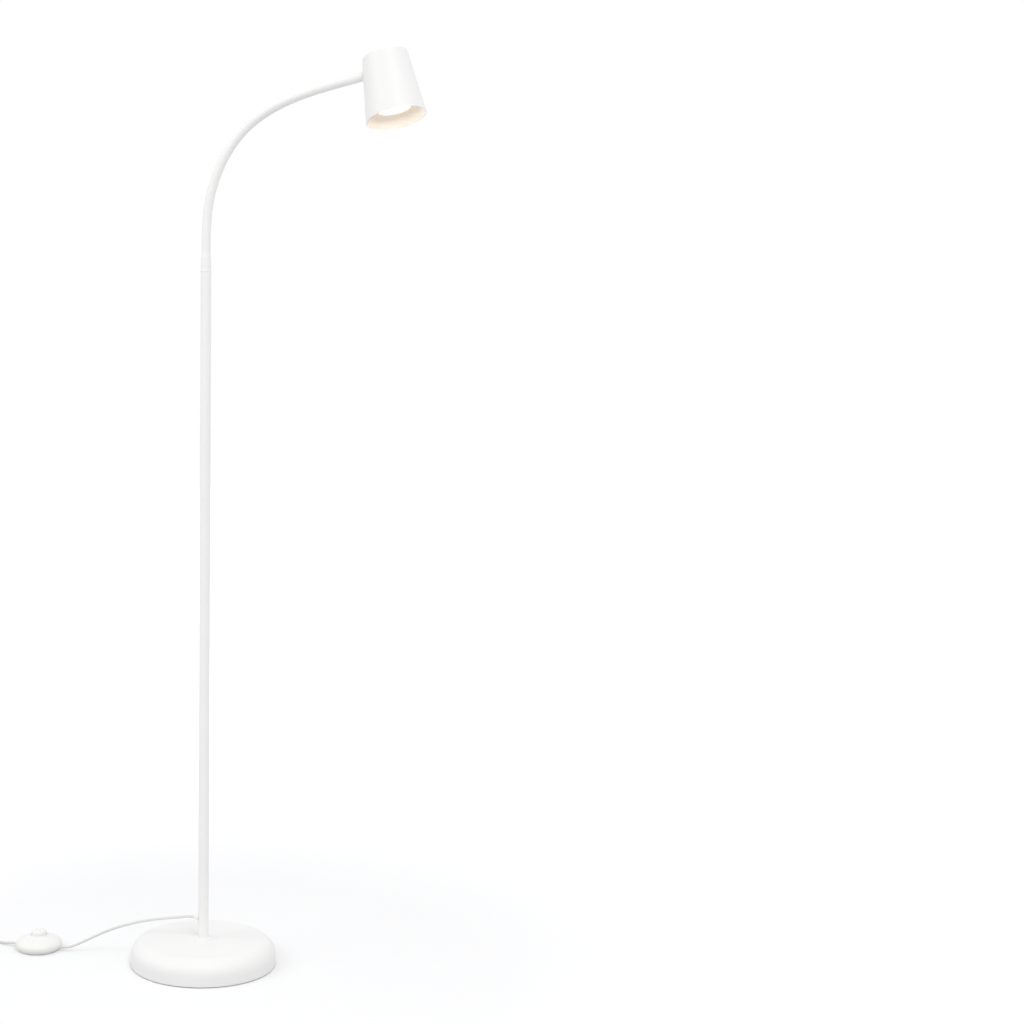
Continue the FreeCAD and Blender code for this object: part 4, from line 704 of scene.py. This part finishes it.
def dress_all():
    """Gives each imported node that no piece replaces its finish, and returns the cords' vinyl."""
    paint = powder_coat()
    plastic = moulded_plastic("switch_plastic", WHITE_PLASTIC, roughness=(0.42, 0.52), grain=0.16)
    gloss = moulded_plastic("button_plastic", WHITE_PLASTIC, roughness=(0.24, 0.34), grain=0.05)
    vinyl = moulded_plastic("cord_vinyl", CORD_WHITE, roughness=(0.40, 0.50), grain=0.08)
    zinc = bare_metal("zinc_plate", ZINC, roughness=(0.28, 0.42))
    iron = cast_iron()
    pad = rubber("pad_rubber", PAD_RUBBER, cell_scale=260.0)
    feet = rubber("foot_rubber", FOOT_RUBBER, cell_scale=900.0)
    nylon = moulded_plastic("grip_nylon", GRIP_NYLON, roughness=(0.45, 0.60), grain=0.12)
    strap = moulded_plastic("tie_strap", TIE_VINYL, roughness=(0.38, 0.50), grain=0.20)
    brass = bare_metal("contact_brass", BRASS, roughness=(0.20, 0.34))
    nickel = bare_metal("pin_nickel", NICKEL, roughness=(0.10, 0.22), grain=0.05)
    finishes = {
        paint: ["base_cover", "pole_flange", "pole_lower", "pole_middle", "pole_upper",
                "lower_ferrule", "bead_ring", "upper_ferrule", "shade"],
        plastic: ["cord_bushing", "switch_base", "switch_cover", "plug_body"],
        gloss: ["switch_button"],
        vinyl: ["pole_lead"],
        zinc: ["base_washer", "base_nut", "base_stud", "pole_coupler_1", "pole_coupler_2", "arm_nut",
               "saddle_washer", "holder_bracket", "holder_screws", "switch_screws"],
        iron: ["base_weight"],
        pad: ["floor_pad"],
        feet: ["switch_feet"],
        nylon: ["cord_grip"],
        strap: ["cord_tie"],
        brass: ["contact_bridge", "fixed_contacts"],
        nickel: ["plug_pins", "bulb_pins"],
        porcelain(): ["lamp_holder"],
        silvered_glass(): ["bulb_body"],
        lit_lens(): ["bulb_lens"],
    }
    for material, nodes in finishes.items():
        for node in nodes:
            dress(node, material)
    return vinyl


# ---------------------------------------------------------------- floor, backdrop and light
SKY_COLOR = (0.98, 0.985, 1.0, 1)
SKY_STRENGTH = 0.80
SEEN_SKY_COLOR = (1, 1, 1, 1)
FLOOR_SIZE = 60.0
FLOOR_COLOR = (0.70, 0.70, 0.70, 1)         # what the floor throws back onto the lamp
FLOOR_ROUGHNESS = 0.9
SEEN_FLOOR_COLOR = (0.86, 0.86, 0.86, 1)    # what the camera sees of it
FLOOR_LIFT_NEAR = 0.12                      # light added to the seen floor, which grows with
FLOOR_LIFT_FAR = 0.50                       # the distance from the pole, so that the floor
FLOOR_NEAR = 0.45                           # fades into the backdrop and keeps its shadow
FLOOR_FAR = 2.6
LIGHT_AIM = Vector((0.0, 0.0, 0.7))
KEY_PLACE = Vector((1.8, -2.6, 4.2))
KEY_SIZE = 2.4
KEY_POWER = 50.0
FILL_PLACE = Vector((-2.6, -2.0, 3.2))
FILL_SIZE = 2.4
FILL_POWER = 28.0


def seen_ray(tree):
    """1 for camera, glossy and transmission rays, which see the pale backdrop, and 0 for the rest."""
    path = tree.nodes.new("ShaderNodeLightPath")
    total = path.outputs["Is Camera Ray"]
    for name in ("Is Glossy Ray", "Is Transmission Ray"):
        both = tree.nodes.new("ShaderNodeMath")
        both.operation = "MAXIMUM"
        tree.links.new(total, both.inputs[0])
        tree.links.new(path.outputs[name], both.inputs[1])
        total = both.outputs["Value"]
    return total


def make_world():
    """A plain sky that lights the lamp and is seen as white."""
    world = bpy.data.worlds.new("studio")
    world.use_nodes = True
    bpy.context.scene.world = world
    tree = world.node_tree
    light = tree.nodes["Background"]
    light.inputs["Color"].default_value = SKY_COLOR
    light.inputs["Strength"].default_value = SKY_STRENGTH
    white = tree.nodes.new("ShaderNodeBackground")
    white.inputs["Color"].default_value = SEEN_SKY_COLOR
    mix = tree.nodes.new("ShaderNodeMixShader")
    tree.links.new(seen_ray(tree), mix.inputs["Fac"])
    tree.links.new(light.outputs["Background"], mix.inputs[1])
    tree.links.new(white.outputs["Background"], mix.inputs[2])
    tree.links.new(mix.outputs["Shader"], tree.nodes["World Output"].inputs["Surface"])


def floor_material():
    """A plain floor for the light, and a paler one, lifted with distance, for rays that see it."""
    look = Nodes("pale_floor")
    look.set("Base Color", FLOOR_COLOR)
    look.set("Roughness", FLOOR_ROUGHNESS)
    look.set("Specular IOR Level", 0.0)
    seen = look.add("ShaderNodeBsdfDiffuse")
    seen.inputs["Color"].default_value = SEEN_FLOOR_COLOR
    glow = look.add("ShaderNodeEmission")
    lift = look.spread(look.length(look.place()), FLOOR_LIFT_NEAR, FLOOR_LIFT_FAR,
                       from_low=FLOOR_NEAR, from_high=FLOOR_FAR)
    look.link(lift, glow.inputs["Strength"])
    both = look.add("ShaderNodeAddShader")
    look.link(seen.outputs["BSDF"], both.inputs[0])
    look.link(glow.outputs["Emission"], both.inputs[1])
    mix = look.add("ShaderNodeMixShader")
    look.link(seen_ray(look.tree), mix.inputs["Fac"])
    look.link(look.shader.outputs["BSDF"], mix.inputs[1])
    look.link(both.outputs["Shader"], mix.inputs[2])
    look.link(mix.outputs["Shader"], look.tree.nodes["Material Output"].inputs["Surface"])
    return look.material


def make_floor():
    half = FLOOR_SIZE / 2
    corners = [(-half, -half, 0), (half, -half, 0), (half, half, 0), (-half, half, 0)]
    mesh = bpy.data.meshes.new("floor")
    mesh.from_pydata(corners, [], [(0, 1, 2, 3)])
    mesh.materials.append(floor_material())
    add_object("floor", mesh)


def area_light(name, place, size, power):
    """A square white lamp that faces the middle of the floor lamp."""
    data = bpy.data.lights.new(name, "AREA")
    data.size = size
    data.energy = power
    light = add_object(name, data)
    light.location = place
    light.rotation_mode = "QUATERNION"
    light.rotation_quaternion = (LIGHT_AIM - place).to_track_quat("-Z", "Y")


# ---------------------------------------------------------------- putting it together
make_camera()
cord_vinyl = dress_all()
make_lead_cord(cord_vinyl)
make_supply_cord(cord_vinyl)
make_arm(sleeve_vinyl(), bare_metal("hose_steel", HOSE_STEEL, roughness=(0.30, 0.45)))
make_spring(bare_metal("spring_steel", SPRING_STEEL, roughness=(0.22, 0.34)))
make_world()
make_floor()
area_light("key_light", KEY_PLACE, KEY_SIZE, KEY_POWER)
area_light("fill_light", FILL_PLACE, FILL_SIZE, FILL_POWER)
bpy.context.scene.view_settings.view_transform = "Standard"
